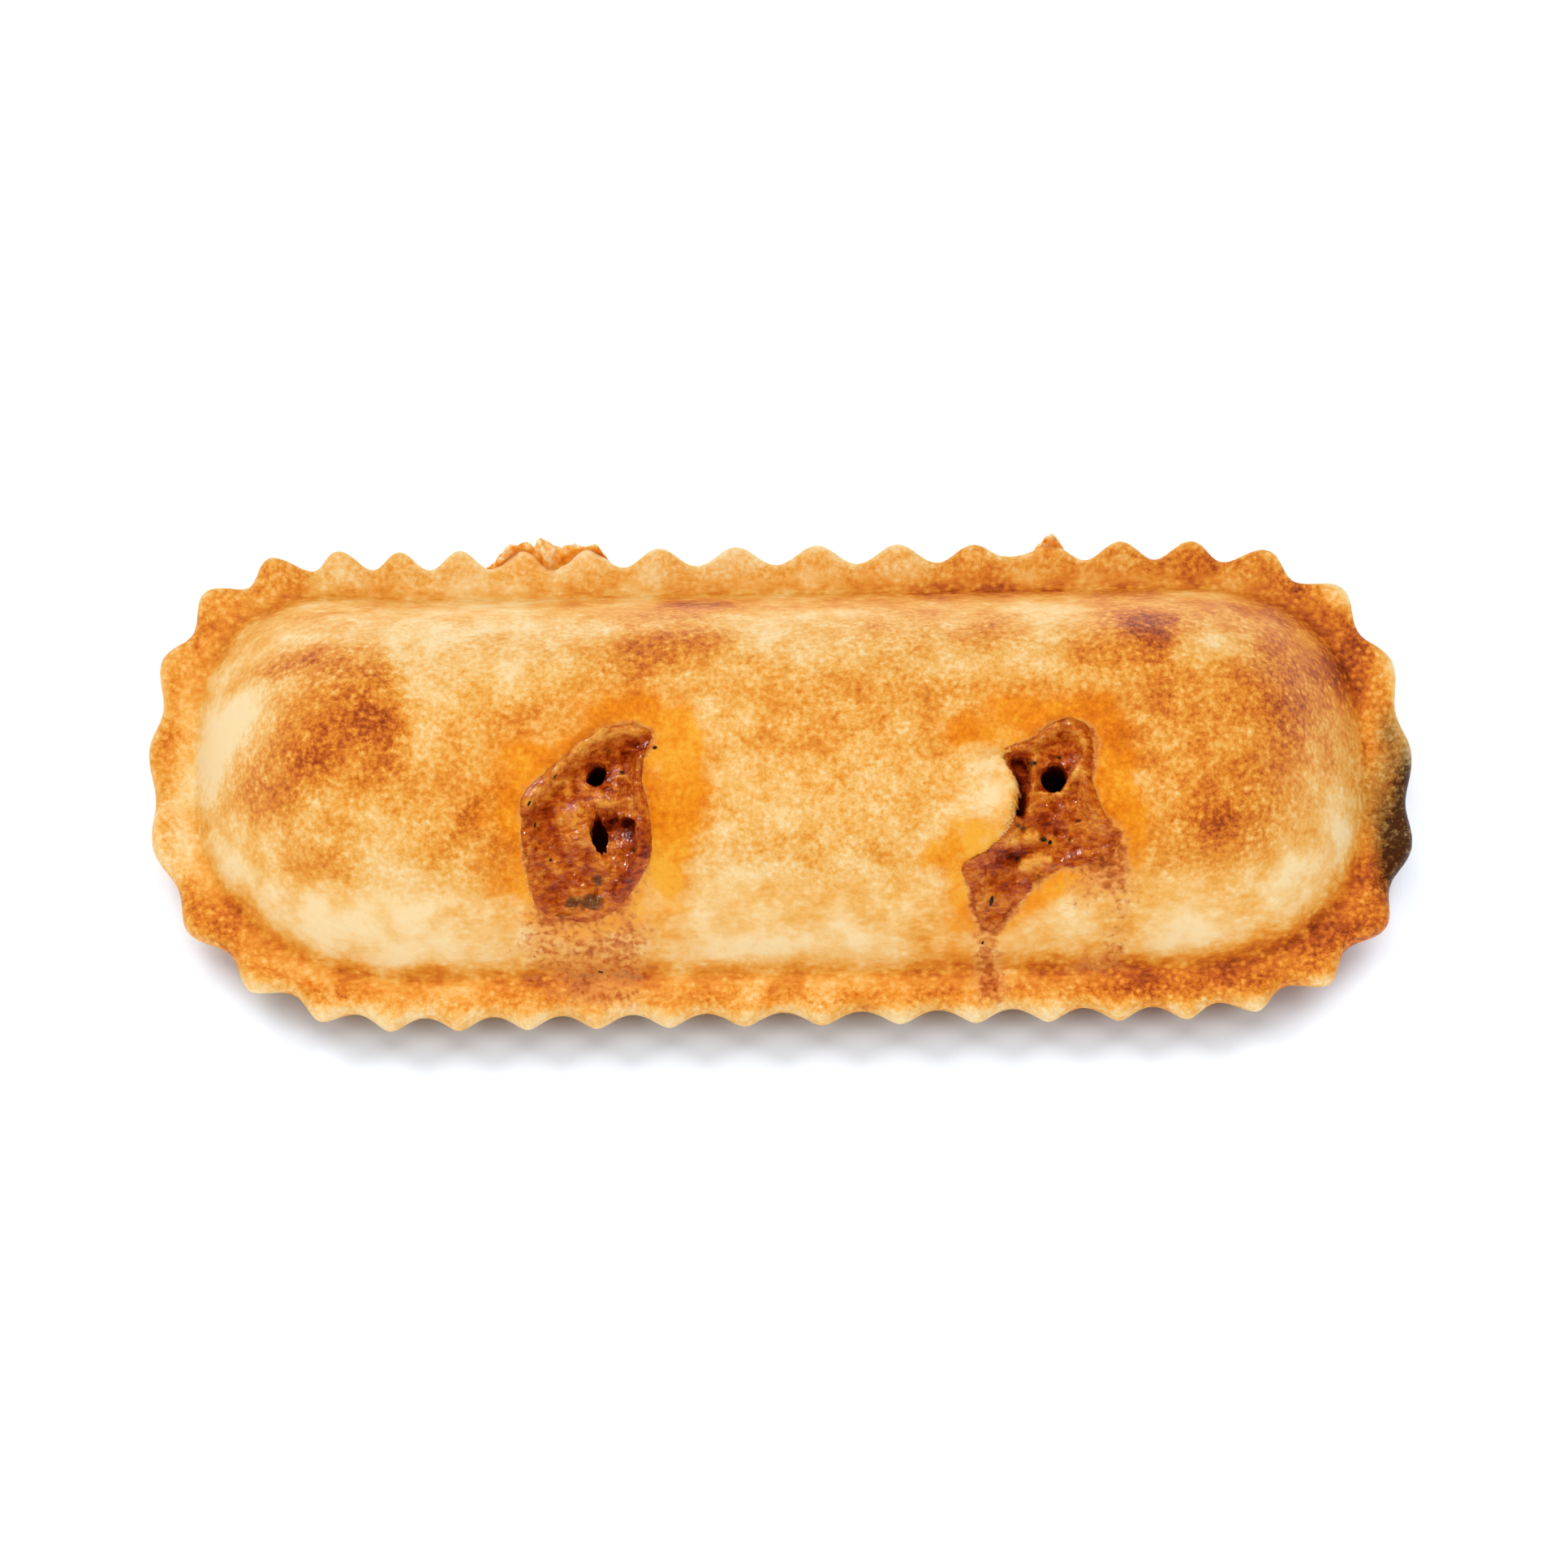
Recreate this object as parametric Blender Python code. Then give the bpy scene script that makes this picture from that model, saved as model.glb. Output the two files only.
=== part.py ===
"""A long baked empanada: two sheets of dough pressed together round a chicken filling.

The rim is cut with a fluted cutter, and the lid is domed and blistered. The filling has burst the
lid open in two places on its front side, and has seeped out of the seam at the back. Metres, +Z up,
+X along the empanada, +Y to its back edge. The origin is the middle of the flat base.
"""

import math

import bmesh
import bpy
from mathutils import Vector, geometry, noise

MM = 0.001

# Plan: a straight run between two rounded ends, measured to the mean line of the fluted edge.
SPINE_HALF = 50.0 * MM
CAP_RADIUS = 34.5 * MM
SIDE_RADIUS = 33.0 * MM
END_RADIUS = 34.5 * MM
# How far each corner stands out past a plain round end: (at the back, at the right) -> metres.
CORNER_FULLNESS = {
    (True, False): 3.9 * MM,
    (True, True): 2.6 * MM,
    (False, True): 2.4 * MM,
    (False, False): 0.2 * MM,
}
CORNER_LIFT = {
    (True, False): 3.2 * MM,
    (True, True): 1.0 * MM,
    (False, True): 0.6 * MM,
    (False, False): 0.0,
}

# The flutes of the cut edge. They were stretched unevenly, which the drift harmonics describe.
FLUTES = 41
FLUTE_START = -0.813
FLUTE_DRIFT = ((1, 0.156, 0.117), (2, -0.233, 0.195), (3, 0.006, 0.095), (4, 0.066, 0.193))
FLUTE_DEPTH_BACK = 1.25 * MM
FLUTE_DEPTH_FRONT = 1.0 * MM
FLUTE_DEPTH_END = 0.5 * MM
FLUTE_DEPTH_CORNER = 0.45 * MM
# Crests are narrow along the front and as round as the valleys everywhere else.
FLUTE_TIP_SOFTNESS = 0.35
FRONT_TIPS = 0.9
FLUTE_LIFT = 0.35 * MM
MISSING_FLUTE = 7.6
MISSING_FLUTE_REACH = 0.45

# Rim and lid.
RIM_WIDTH = 6.0 * MM
RIM_THICKNESS = 3.2 * MM
RIM_UNDERSIDE = 2.6 * MM
RIM_FLARE = 0.5 * MM
EDGE_ROUND = 1.3 * MM
LID_RISE = 20.3 * MM
LID_POWER = 2.8
LID_EASE = 1.15
LID_THICKNESS = 2.7 * MM
BASE_THICKNESS = 2.4 * MM
BASE_INSET = 11.0 * MM
UNEVENNESS = 0.5 * MM
UNEVEN_PITCH = 17.0 * MM
BASE_WANDER = 0.7 * MM
BASE_WANDER_PITCH = 9.0 * MM
BASE_FLUTE = 0.35 * MM

# Blisters and dents of the lid: x, y, half width along X and Y, height.
BLISTERS = (
    (-64.0 * MM, 2.0 * MM, 13.0 * MM, 10.0 * MM, 2.6 * MM),
    (-51.0 * MM, -3.0 * MM, 6.0 * MM, 13.0 * MM, -0.5 * MM),
    (-61.0 * MM, -15.0 * MM, 6.0 * MM, 4.5 * MM, 0.7 * MM),
    (-13.0 * MM, 15.5 * MM, 8.0 * MM, 5.0 * MM, 1.0 * MM),
    (46.0 * MM, 13.5 * MM, 7.0 * MM, 5.0 * MM, 1.5 * MM),
    (67.0 * MM, 5.0 * MM, 9.0 * MM, 8.0 * MM, 1.4 * MM),
    (58.0 * MM, -14.0 * MM, 7.0 * MM, 5.0 * MM, 1.0 * MM),
    (-81.0 * MM, -4.5 * MM, 2.6 * MM, 3.4 * MM, 0.9 * MM),
)

# Where the lid burst. Outlines run clockwise from the back, round a centre that sees all of them.
LEFT_VENT_CENTRE = (-25.0 * MM, -11.5 * MM)
LEFT_VENT_OUTLINE = (
    (5.0, 11.7), (7.8, 10.5), (6.8, 8.2), (6.1, 5.0), (6.8, 1.2), (7.0, -3.4), (5.2, -6.7),
    (2.8, -8.7), (-1.0, -9.8), (-5.6, -9.5), (-7.5, -6.8), (-8.2, -2.0), (-7.9, 2.8),
    (-4.2, 6.2), (0.9, 10.5),
)
RIGHT_VENT_CENTRE = (35.2 * MM, -12.0 * MM)
RIGHT_VENT_OUTLINE = (
    (2.0, 12.2), (4.4, 11.2), (5.0, 7.8), (4.5, 4.2), (5.6, 0.6), (7.8, -2.4), (6.4, -4.2),
    (3.2, -4.5), (-0.4, -5.4), (-4.2, -8.4), (-6.8, -10.6), (-8.7, -10.4), (-10.2, -7.4),
    (-11.2, -5.0), (-8.4, -3.4), (-5.4, -0.4), (-4.6, 3.6), (-6.2, 7.6), (-2.8, 9.2),
    (0.2, 11.3),
)
VENTS = ((LEFT_VENT_CENTRE, LEFT_VENT_OUTLINE), (RIGHT_VENT_CENTRE, RIGHT_VENT_OUTLINE))
VENT_SAMPLES = 3
VENT_SAG = 1.1 * MM
VENT_SAG_REACH = 13.0 * MM
# The torn flap of crust that curls up along the left of the right vent.
FLAP_CENTRE = (27.6 * MM, -8.6 * MM)
FLAP_HALF_WIDTHS = (3.0 * MM, 5.6 * MM)
FLAP_HEIGHT = 1.5 * MM

# The filling that runs through, with a running gap to the crust, and its steam holes.
GAP = 0.35 * MM
VENT_GAP = 0.45 * MM
SEAM_GAP = 0.3 * MM
ROOM_INSET = 6.4 * MM
ROOM_SHOULDER = 1.1 * MM
ROOM_FOOT = 4.6 * MM
FILLING_SUNK = 1.3 * MM
FILLING_LUMP = 0.8 * MM
FILLING_LUMP_PITCH = 3.2 * MM
# Steam holes: x, y, radius at the top, radius at the bottom, depth.
STEAM_HOLES = (
    (-24.1 * MM, -5.5 * MM, 1.5 * MM, 1.1 * MM, 6.5 * MM),
    (-22.6 * MM, -12.4 * MM, 2.8 * MM, 2.0 * MM, 5.5 * MM),
    (35.5 * MM, -6.7 * MM, 1.9 * MM, 1.5 * MM, 7.0 * MM),
)

# Filling that seeped out behind the back edge: x from, x to, how far it stands out, height between
# its curls, slices along it, and the curls as x, half width and how much higher they stand.
LEAKS = {
    "seam_leak_left": (
        -40.4 * MM, -22.0 * MM, 1.1 * MM, 6.2 * MM, 44,
        (
            (-36.6 * MM, 1.9 * MM, 3.0 * MM), (-31.7 * MM, 1.3 * MM, 2.3 * MM),
            (-27.9 * MM, 1.6 * MM, 1.0 * MM), (-24.5 * MM, 1.2 * MM, 3.2 * MM),
        ),
    ),
    "seam_leak_right": (
        34.6 * MM, 39.8 * MM, 0.6 * MM, 6.3 * MM, 14, ((37.6 * MM, 1.4 * MM, 1.2 * MM),),
    ),
}
LEAK_CRAG = 0.55 * MM
LEAK_CRAG_PITCH = 2.2 * MM

# Sampling: samples per flute round the rim, and how each surface is divided.
SAMPLES_PER_FLUTE = 8
LID_RINGS = ((0.93, 164), (0.85, 123), (0.76, 123), (0.65, 96), (0.52, 82), (0.37, 60), (0.2, 30))
ROOM_SEGMENTS = 96
ROOM_RINGS = ((0.94, 96), (0.84, 96), (0.7, 82), (0.54, 72), (0.37, 48), (0.18, 24))
BASE_RINGS = ((0.66, 60), (0.3, 24))
VENT_CLEARANCE = 1.5 * MM
COLUMN_PITCH = 1.9 * MM
STEAM_HOLE_SEGMENTS = 14

CRUST_COLOUR = (0.83, 0.42, 0.11)
FILLING_COLOUR = (0.42, 0.09, 0.015)
LEAK_COLOUR = (0.80, 0.31, 0.04)


def quadrant(bearing):
    """Which corner a bearing points to: (at the back, at the right)."""
    return math.cos(bearing) >= 0.0, math.sin(bearing) >= 0.0


def by_corner(table, bearing):
    """A corner's value, strongest at 45 degrees and fading to none at the sides and ends."""
    return table[quadrant(bearing)] * math.sin(2.0 * bearing) ** 2


def edge_radius(bearing):
    """From the long axis to the mean line of the fluted edge, at a bearing from +Y."""
    side = SIDE_RADIUS * math.cos(bearing) ** 2
    end = END_RADIUS * math.sin(bearing) ** 2
    return side + end + by_corner(CORNER_FULLNESS, bearing)


def from_long_axis(x, y):
    """A point's distance from the long axis, and its bearing from +Y, clockwise seen from above."""
    nearest = max(-SPINE_HALF, min(SPINE_HALF, x))
    return math.hypot(x - nearest, y), math.atan2(x - nearest, y)


def foot_and_bearing(turn):
    """Where a ray to the edge leaves the long axis, and its bearing, at a share of the way round."""
    straight = 2.0 * SPINE_HALF
    cap = math.pi * CAP_RADIUS
    run = (turn % 1.0) * 2.0 * (straight + cap)
    if run < straight:
        return run - SPINE_HALF, 0.0
    if run < straight + cap:
        return SPINE_HALF, (run - straight) / CAP_RADIUS
    if run < 2.0 * straight + cap:
        return SPINE_HALF - (run - straight - cap), math.pi
    return -SPINE_HALF, math.pi + (run - 2.0 * straight - cap) / CAP_RADIUS


def turn_of_flute(flute):
    """The share of the way round at which a flute's number is reached; whole numbers are crests."""
    turn = (flute - FLUTE_START) / FLUTES
    for _ in range(6):
        drift = sum(
            c * math.cos(2.0 * math.pi * h * turn) + s * math.sin(2.0 * math.pi * h * turn)
            for h, c, s in FLUTE_DRIFT
        )
        turn = (flute - FLUTE_START - drift) / FLUTES
    return turn


def flute_wave(flute, bearing):
    """The cutter's wave from -1 in the valleys to +1 on the crests, at a bearing from +Y."""
    valley = abs(math.sin(math.pi * flute))
    soft = FLUTE_TIP_SOFTNESS
    narrow = (math.hypot(valley, soft) - soft) / (math.hypot(1.0, soft) - soft)
    front = FRONT_TIPS * max(0.0, -math.cos(bearing)) ** 2
    share = valley**2 + front * (narrow - valley**2)
    missing = math.exp(-(((flute % FLUTES) - MISSING_FLUTE) / MISSING_FLUTE_REACH) ** 2)
    return (1.0 - 2.0 * share) * (1.0 - 0.6 * missing)


def flute_depth(bearing):
    """Half the height of the wave: deepest at the back and the corners, faint at the ends."""
    across = math.cos(bearing)
    side = FLUTE_DEPTH_BACK if across > 0.0 else FLUTE_DEPTH_FRONT
    end = FLUTE_DEPTH_END * math.sin(bearing) ** 2
    return side * across**2 + end + FLUTE_DEPTH_CORNER * math.sin(2.0 * bearing) ** 2


def mound(x, y, middle_x, middle_y, half_x, half_y):
    """A round mound that is 1 at its middle and fades smoothly away."""
    return math.exp(-(((x - middle_x) / half_x) ** 2) - ((y - middle_y) / half_y) ** 2)


def rim_top(bearing, share=1.0):
    """Height of the rim's upper side at the lid's edge, and of the level the lid rises from."""
    return RIM_UNDERSIDE + RIM_THICKNESS + by_corner(CORNER_LIFT, bearing) * share**3


def lid_height(x, y):
    """Height of the lid's outer side over a point inside the crease."""
    distance, bearing = from_long_axis(x, y)
    share = min(1.0, distance / (edge_radius(bearing) - RIM_WIDTH))
    rise = (1.0 - share**LID_POWER) ** LID_EASE
    waves = noise.noise(Vector((x, y, 0.0)) / UNEVEN_PITCH) * UNEVENNESS
    for middle_x, middle_y, half_x, half_y, height in BLISTERS:
        waves += height * mound(x, y, middle_x, middle_y, half_x, half_y)
    for centre in (LEFT_VENT_CENTRE, RIGHT_VENT_CENTRE):
        waves -= VENT_SAG * mound(x, y, *centre, VENT_SAG_REACH, VENT_SAG_REACH)
    waves += FLAP_HEIGHT * mound(x, y, *FLAP_CENTRE, *FLAP_HALF_WIDTHS)
    return rim_top(bearing, share) + LID_RISE * rise + waves * (1.0 - share**6)


def flute_at(turn):
    """The flute number at a share of the way round: the inverse of turn_of_flute."""
    drift = sum(
        c * math.cos(2.0 * math.pi * h * turn) + s * math.sin(2.0 * math.pi * h * turn)
        for h, c, s in FLUTE_DRIFT
    )
    return FLUTES * turn + FLUTE_START + drift


def back_edge(x):
    """How far back the fluted edge reaches at a place on the straight back side."""
    turn = (x + SPINE_HALF) / (2.0 * (2.0 * SPINE_HALF + math.pi * CAP_RADIUS))
    return edge_radius(0.0) + flute_depth(0.0) * flute_wave(flute_at(turn), 0.0)


def plan_point(foot, bearing, radius, shrink=1.0):
    """A point in plan at a radius from the long axis, drawn in to the middle by a share."""
    return Vector(((foot + radius * math.sin(bearing)) * shrink, radius * math.cos(bearing) * shrink))


def wander(foot, bearing):
    """How far the edge of the base strays in or out, as it is never a true line."""
    place = plan_point(foot, bearing, SIDE_RADIUS)
    return BASE_WANDER * noise.noise(Vector((*place, 0.0)) / BASE_WANDER_PITCH)


def plan_ring(inset, count, shrink=1.0, straying=0.0):
    """Evenly spaced plan points that follow the mean edge, an inset inside it."""
    ring = []
    for i in range(count):
        foot, bearing = foot_and_bearing(i / count)
        radius = edge_radius(bearing) - inset + straying * wander(foot, bearing)
        ring.append(plan_point(foot, bearing, radius, shrink))
    return ring


def closed_curve(points, samples):
    """Points along a smooth closed curve through the given ones, by Catmull-Rom interpolation."""
    count = len(points)
    curve = []
    for i in range(count):
        before, start, end, after = (Vector(points[(i + k) % count]) for k in (-1, 0, 1, 2))
        for k in range(samples):
            u = k / samples
            bend = 2.0 * before - 5.0 * start + 4.0 * end - after
            twist = 3.0 * (start - end) + after - before
            curve.append(start + 0.5 * u * ((end - before) + u * (bend + u * twist)))
    return curve


def vent_outline(centre, outline, inset=0.0):
    """A vent's outline in plan, drawn in by an inset."""
    ring = []
    for offset in closed_curve(outline, VENT_SAMPLES):
        offset = offset * MM
        ring.append(Vector(centre) + offset - offset.normalized() * inset)
    return ring


def inside(point, polygon):
    """Whether a plan point lies within a closed polygon."""
    within = False
    for a, b in zip(polygon, polygon[1:] + polygon[:1]):
        if (a.y > point.y) != (b.y > point.y):
            if point.x < a.x + (point.y - a.y) / (b.y - a.y) * (b.x - a.x):
                within = not within
    return within


def clear_of(point, polygon, clearance):
    """Whether a plan point is at least a clearance away from every corner of a polygon."""
    return all((point - corner).length >= clearance for corner in polygon)


def raise_ring(builder, plan, height):
    """Vertices over plan points, at the height a function gives for each."""
    return [builder.verts.new((point.x, point.y, height(point))) for point in plan]


def bridge(builder, ring, other):
    """Faces between two rings of as many vertices."""
    count = len(ring)
    for i in range(count):
        j = (i + 1) % count
        builder.faces.new((ring[i], ring[j], other[j]))
        builder.faces.new((ring[i], other[j], other[i]))


def fill(builder, outer, holes, points, height):
    """Covers the plan inside a ring of vertices, but outside some others, with triangles.

    The points inside it become vertices at the height a function gives for each.
    """
    loops = [outer, *holes]
    borders = [[vertex.co.xy for vertex in loop] for loop in loops]
    inner = [
        point
        for point in points
        if inside(point, borders[0])
        and clear_of(point, borders[0], 0.5 * VENT_CLEARANCE)
        and all(not inside(point, b) and clear_of(point, b, VENT_CLEARANCE) for b in borders[1:])
    ]
    vertices = [vertex for loop in loops for vertex in loop] + raise_ring(builder, inner, height)
    edges = []
    for loop in loops:
        start = sum(len(before) for before in loops[: loops.index(loop)])
        edges += [(start + i, start + (i + 1) % len(loop)) for i in range(len(loop))]
    flat = [vertex.co.xy / MM for vertex in vertices]
    found = geometry.delaunay_2d_cdt(flat, edges, [], 0, 1e-5)
    for corners in found[2]:
        corners = [found[3][corner][0] for corner in corners]
        middle = sum((vertices[corner].co.xy for corner in corners), Vector((0.0, 0.0))) / 3.0
        if inside(middle, borders[0]) and not any(inside(middle, b) for b in borders[1:]):
            builder.faces.new([vertices[corner] for corner in corners])


def new_object(name, builder, material, collection):
    """An object whose mesh is the finished bmesh, with its normals facing out."""
    bmesh.ops.recalc_face_normals(builder, faces=builder.faces)
    if builder.calc_volume(signed=True) < 0.0:
        bmesh.ops.reverse_faces(builder, faces=builder.faces)
    mesh = bpy.data.meshes.new(name)
    builder.to_mesh(mesh)
    builder.free()
    mesh.shade_smooth()
    mesh.set_sharp_from_angle(angle=math.radians(50.0))
    mesh.materials.append(material)
    obj = bpy.data.objects.new(name, mesh)
    collection.objects.link(obj)
    return obj


def rim_rings(builder):
    """The rings of the rim, from the crease at the lid round the fluted edge to the flat base."""
    rings = []
    for segment in range(FLUTES * SAMPLES_PER_FLUTE):
        foot, bearing = foot_and_bearing(turn_of_flute(segment / SAMPLES_PER_FLUTE))
        wave = flute_wave(segment / SAMPLES_PER_FLUTE, bearing)
        mean = edge_radius(bearing)
        edge = mean + flute_depth(bearing) * wave
        crease = mean - RIM_WIDTH
        lift = by_corner(CORNER_LIFT, bearing)
        top = rim_top(bearing) + RIM_FLARE + FLUTE_LIFT * wave
        under = RIM_UNDERSIDE + lift + 0.5 * FLUTE_LIFT * wave
        path = (
            (crease, rim_top(bearing)),
            (0.5 * (crease + edge), 0.5 * (rim_top(bearing) + top)),
            (edge - EDGE_ROUND, top),
            (edge, 0.5 * (top + under)),
            (edge - EDGE_ROUND, under),
            (mean - 0.7 * RIM_WIDTH, under - 0.5 * lift),
            (mean - BASE_INSET + wander(foot, bearing) + BASE_FLUTE * wave, 0.0),
        )
        rings.append(
            [builder.verts.new((*plan_point(foot, bearing, radius), z)) for radius, z in path]
        )
    return [list(ring) for ring in zip(*rings)]


def room(builder, outlines, grow):
    """The walls of the room for the filling, open at the vents; it is the filling's own shape.

    Returns the ring of vertices at the foot of each vent. A positive grow enlarges the room.
    """
    floor = BASE_THICKNESS - grow

    def ceiling(point):
        thickness = LID_THICKNESS - grow
        return max(lid_height(point.x, point.y) - thickness, floor + 2.0 * grow + 1.2 * MM)

    def flat(point):
        return floor

    def level(point):
        return 0.4 * ceiling(point) + 0.6 * floor

    shoulder = raise_ring(builder, plan_ring(ROOM_INSET + ROOM_SHOULDER, ROOM_SEGMENTS), ceiling)
    waist = raise_ring(builder, plan_ring(ROOM_INSET - grow, ROOM_SEGMENTS), level)
    foot = raise_ring(builder, plan_ring(ROOM_INSET + ROOM_FOOT - grow, ROOM_SEGMENTS, 1.0, 1.0), flat)
    bridge(builder, shoulder, waist)
    bridge(builder, waist, foot)
    vents = [raise_ring(builder, outline, ceiling) for outline in outlines]
    plan = [p for shrink, count in ROOM_RINGS for p in plan_ring(ROOM_INSET, count, shrink)]
    fill(builder, shoulder, vents, plan, ceiling)
    plan = [p for shrink, count in BASE_RINGS for p in plan_ring(BASE_INSET, count, shrink)]
    fill(builder, foot, [], plan, flat)
    return vents


def build_crust(material, collection):
    """Both sheets of dough as one shell, open only where the lid has burst."""
    builder = bmesh.new()
    outlines = [vent_outline(*vent) for vent in VENTS]
    rings = rim_rings(builder)
    for ring, other in zip(rings, rings[1:]):
        bridge(builder, ring, other)

    def lid(point):
        return lid_height(point.x, point.y)

    def flat(point):
        return 0.0

    lips = [raise_ring(builder, outline, lid) for outline in outlines]
    plan = [p for shrink, count in LID_RINGS for p in plan_ring(RIM_WIDTH, count, shrink)]
    fill(builder, rings[0], lips, plan, lid)
    plan = [p for shrink, count in BASE_RINGS for p in plan_ring(BASE_INSET, count, shrink)]
    fill(builder, rings[-1], [], plan, flat)
    for lip, foot in zip(lips, room(builder, outlines, GAP)):
        bridge(builder, lip, foot)
    return new_object("crust", builder, material, collection)


def filling_surface(point):
    """Height of the baked filling in a vent: sunk below the crust, lumpy, with steam holes."""
    x, y = point
    lumps = noise.fractal(Vector((x, y, 0.03)) / FILLING_LUMP_PITCH, 1.0, 2.0, 3) * FILLING_LUMP
    depth = 0.0
    for hole_x, hole_y, top_radius, bottom_radius, hole_depth in STEAM_HOLES:
        away = math.hypot(x - hole_x, y - hole_y)
        share = (top_radius - away) / (top_radius - bottom_radius)
        depth = max(depth, hole_depth * max(0.0, min(1.0, share)))
    return lid_height(x, y) - FILLING_SUNK + lumps - depth


def column_points(outline):
    """Plan points for the top of the filling in a vent: a lattice, and rings at the steam holes."""
    middle = sum(outline, Vector((0.0, 0.0))) / len(outline)
    count = 9
    points = []
    for hole_x, hole_y, top_radius, bottom_radius, _ in STEAM_HOLES:
        hole = Vector((hole_x, hole_y))
        points.append(hole)
        for radius in (bottom_radius, top_radius):
            for i in range(STEAM_HOLE_SEGMENTS):
                angle = 2.0 * math.pi * i / STEAM_HOLE_SEGMENTS
                points.append(hole + radius * Vector((math.cos(angle), math.sin(angle))))
    for row in range(-count, count + 1):
        for column in range(-count, count + 1):
            step = Vector((column + 0.5 * (row % 2), row * 0.87)) * COLUMN_PITCH
            point = middle + step
            if all((point - Vector(hole[:2])).length > hole[2] + 0.9 * MM for hole in STEAM_HOLES):
                points.append(point)
    return points


def build_filling(material, collection):
    """The filling as one mass between the sheets of dough, standing up into both vents."""
    builder = bmesh.new()
    outlines = [vent_outline(*vent, inset=VENT_GAP) for vent in VENTS]
    for foot, outline in zip(room(builder, outlines, 0.0), outlines):
        brim = raise_ring(builder, outline, filling_surface)
        bridge(builder, foot, brim)
        fill(builder, brim, [], column_points(outline), filling_surface)
    return new_object("filling", builder, material, collection)


def build_seam_leak(name, start, end, reach, low, slices, curls, material, collection):
    """A craggy frill of baked filling that follows the flutes of the back edge."""
    around = 12
    builder = bmesh.new()
    bmesh.ops.create_uvsphere(builder, u_segments=around, v_segments=slices, radius=1.0)
    for vertex in builder.verts:
        ring = round(math.acos(max(-1.0, min(1.0, vertex.co.z))) / math.pi * slices)
        angle = math.atan2(vertex.co.y, vertex.co.x)
        along = 0.5 - 0.5 * math.cos(math.pi * ring / slices)
        swell = math.sin(math.pi * along) ** 0.6
        x = start + (end - start) * along
        height = low + sum(h * math.exp(-(((x - at) / half) ** 2)) for at, half, h in curls)
        inner = back_edge(x) + SEAM_GAP
        outer = SIDE_RADIUS + FLUTE_DEPTH_BACK + reach * swell
        crag = noise.noise(Vector((x / LEAK_CRAG_PITCH, angle, 0.3))) * LEAK_CRAG * swell
        thickness = max(0.5 * MM, outer - inner) * max(0.15, swell)
        y = inner + thickness * (0.5 + 0.5 * math.cos(angle)) + max(0.0, crag) * max(0.0, math.cos(angle))
        z = 0.2 * MM + 0.5 * height * (1.0 + swell * math.sin(angle)) + 2.0 * max(0.0, crag) * max(0.0, math.sin(angle))
        vertex.co = Vector((x, y, z))
    return new_object(name, builder, material, collection)


def food_material(name, colour, roughness):
    """A Principled material of one colour, as the part's plain finish."""
    material = bpy.data.materials.new(name)
    material.use_nodes = True
    shader = material.node_tree.nodes["Principled BSDF"]
    shader.inputs["Base Color"].default_value = (*colour, 1.0)
    shader.inputs["Roughness"].default_value = roughness
    shader.inputs["Metallic"].default_value = 0.0
    material.diffuse_color = (*colour, 1.0)
    return material


def main():
    """Builds the empanada in an empty scene."""
    for obj in list(bpy.data.objects):
        bpy.data.objects.remove(obj)
    parts = bpy.data.collections.new("empanada")
    bpy.context.scene.collection.children.link(parts)
    build_crust(food_material("baked_crust", CRUST_COLOUR, 0.55), parts)
    build_filling(food_material("baked_filling", FILLING_COLOUR, 0.3), parts)
    for name, leak in LEAKS.items():
        build_seam_leak(name, *leak, food_material(name, LEAK_COLOUR, 0.4), parts)


main()
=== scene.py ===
"""Dresses the baked empanada: its crust, burst filling, seam leaks and herb flecks, and the studio.

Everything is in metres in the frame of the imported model: +X along the empanada, +Y to its back
edge, +Z up, with the origin in the middle of its flat base. Sizes below are written in millimetres
times MM. The plan, the lid and the vents repeat the named sizes of the part's own solids, because
each dressed piece stands for one of them.
"""

from __future__ import annotations

import logging
import math
from dataclasses import dataclass, field
from enum import Enum
from typing import Callable

import bmesh
import bpy
import numpy as np
from mathutils import Matrix, Vector, noise

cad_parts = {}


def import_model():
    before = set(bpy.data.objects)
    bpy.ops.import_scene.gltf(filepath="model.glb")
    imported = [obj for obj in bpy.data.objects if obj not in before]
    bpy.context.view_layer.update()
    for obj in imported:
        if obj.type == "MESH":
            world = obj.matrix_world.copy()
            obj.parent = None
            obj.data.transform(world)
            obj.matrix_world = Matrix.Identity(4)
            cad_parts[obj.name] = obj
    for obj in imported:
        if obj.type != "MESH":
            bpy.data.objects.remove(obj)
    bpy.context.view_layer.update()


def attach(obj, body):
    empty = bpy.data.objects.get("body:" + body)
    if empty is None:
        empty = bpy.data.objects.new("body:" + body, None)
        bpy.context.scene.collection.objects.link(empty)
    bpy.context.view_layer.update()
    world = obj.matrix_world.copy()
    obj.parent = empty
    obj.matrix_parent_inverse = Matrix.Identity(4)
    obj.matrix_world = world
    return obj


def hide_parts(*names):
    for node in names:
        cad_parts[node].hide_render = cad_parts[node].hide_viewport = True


MM = 0.001
FILLING_NAME = "chicken_filling"
# Baked starch, oil and cooked sauce all bend light about this much.
FOOD_IOR = 1.45
LOG = logging.getLogger("empanada")

Array = np.ndarray
Pair = tuple[float, float]
Stops = tuple[tuple[float, str], ...]
Fleck = tuple[float, float, float, float, float]


class Slot(Enum):
    """The record's material slots."""

    CRUST = "baked_crust"
    FILLING = "baked_filling"
    LEAK = "seam_leak"


class Carve(Enum):
    """How one shape changes another."""

    CUT = "DIFFERENCE"
    JOIN = "UNION"


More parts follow.
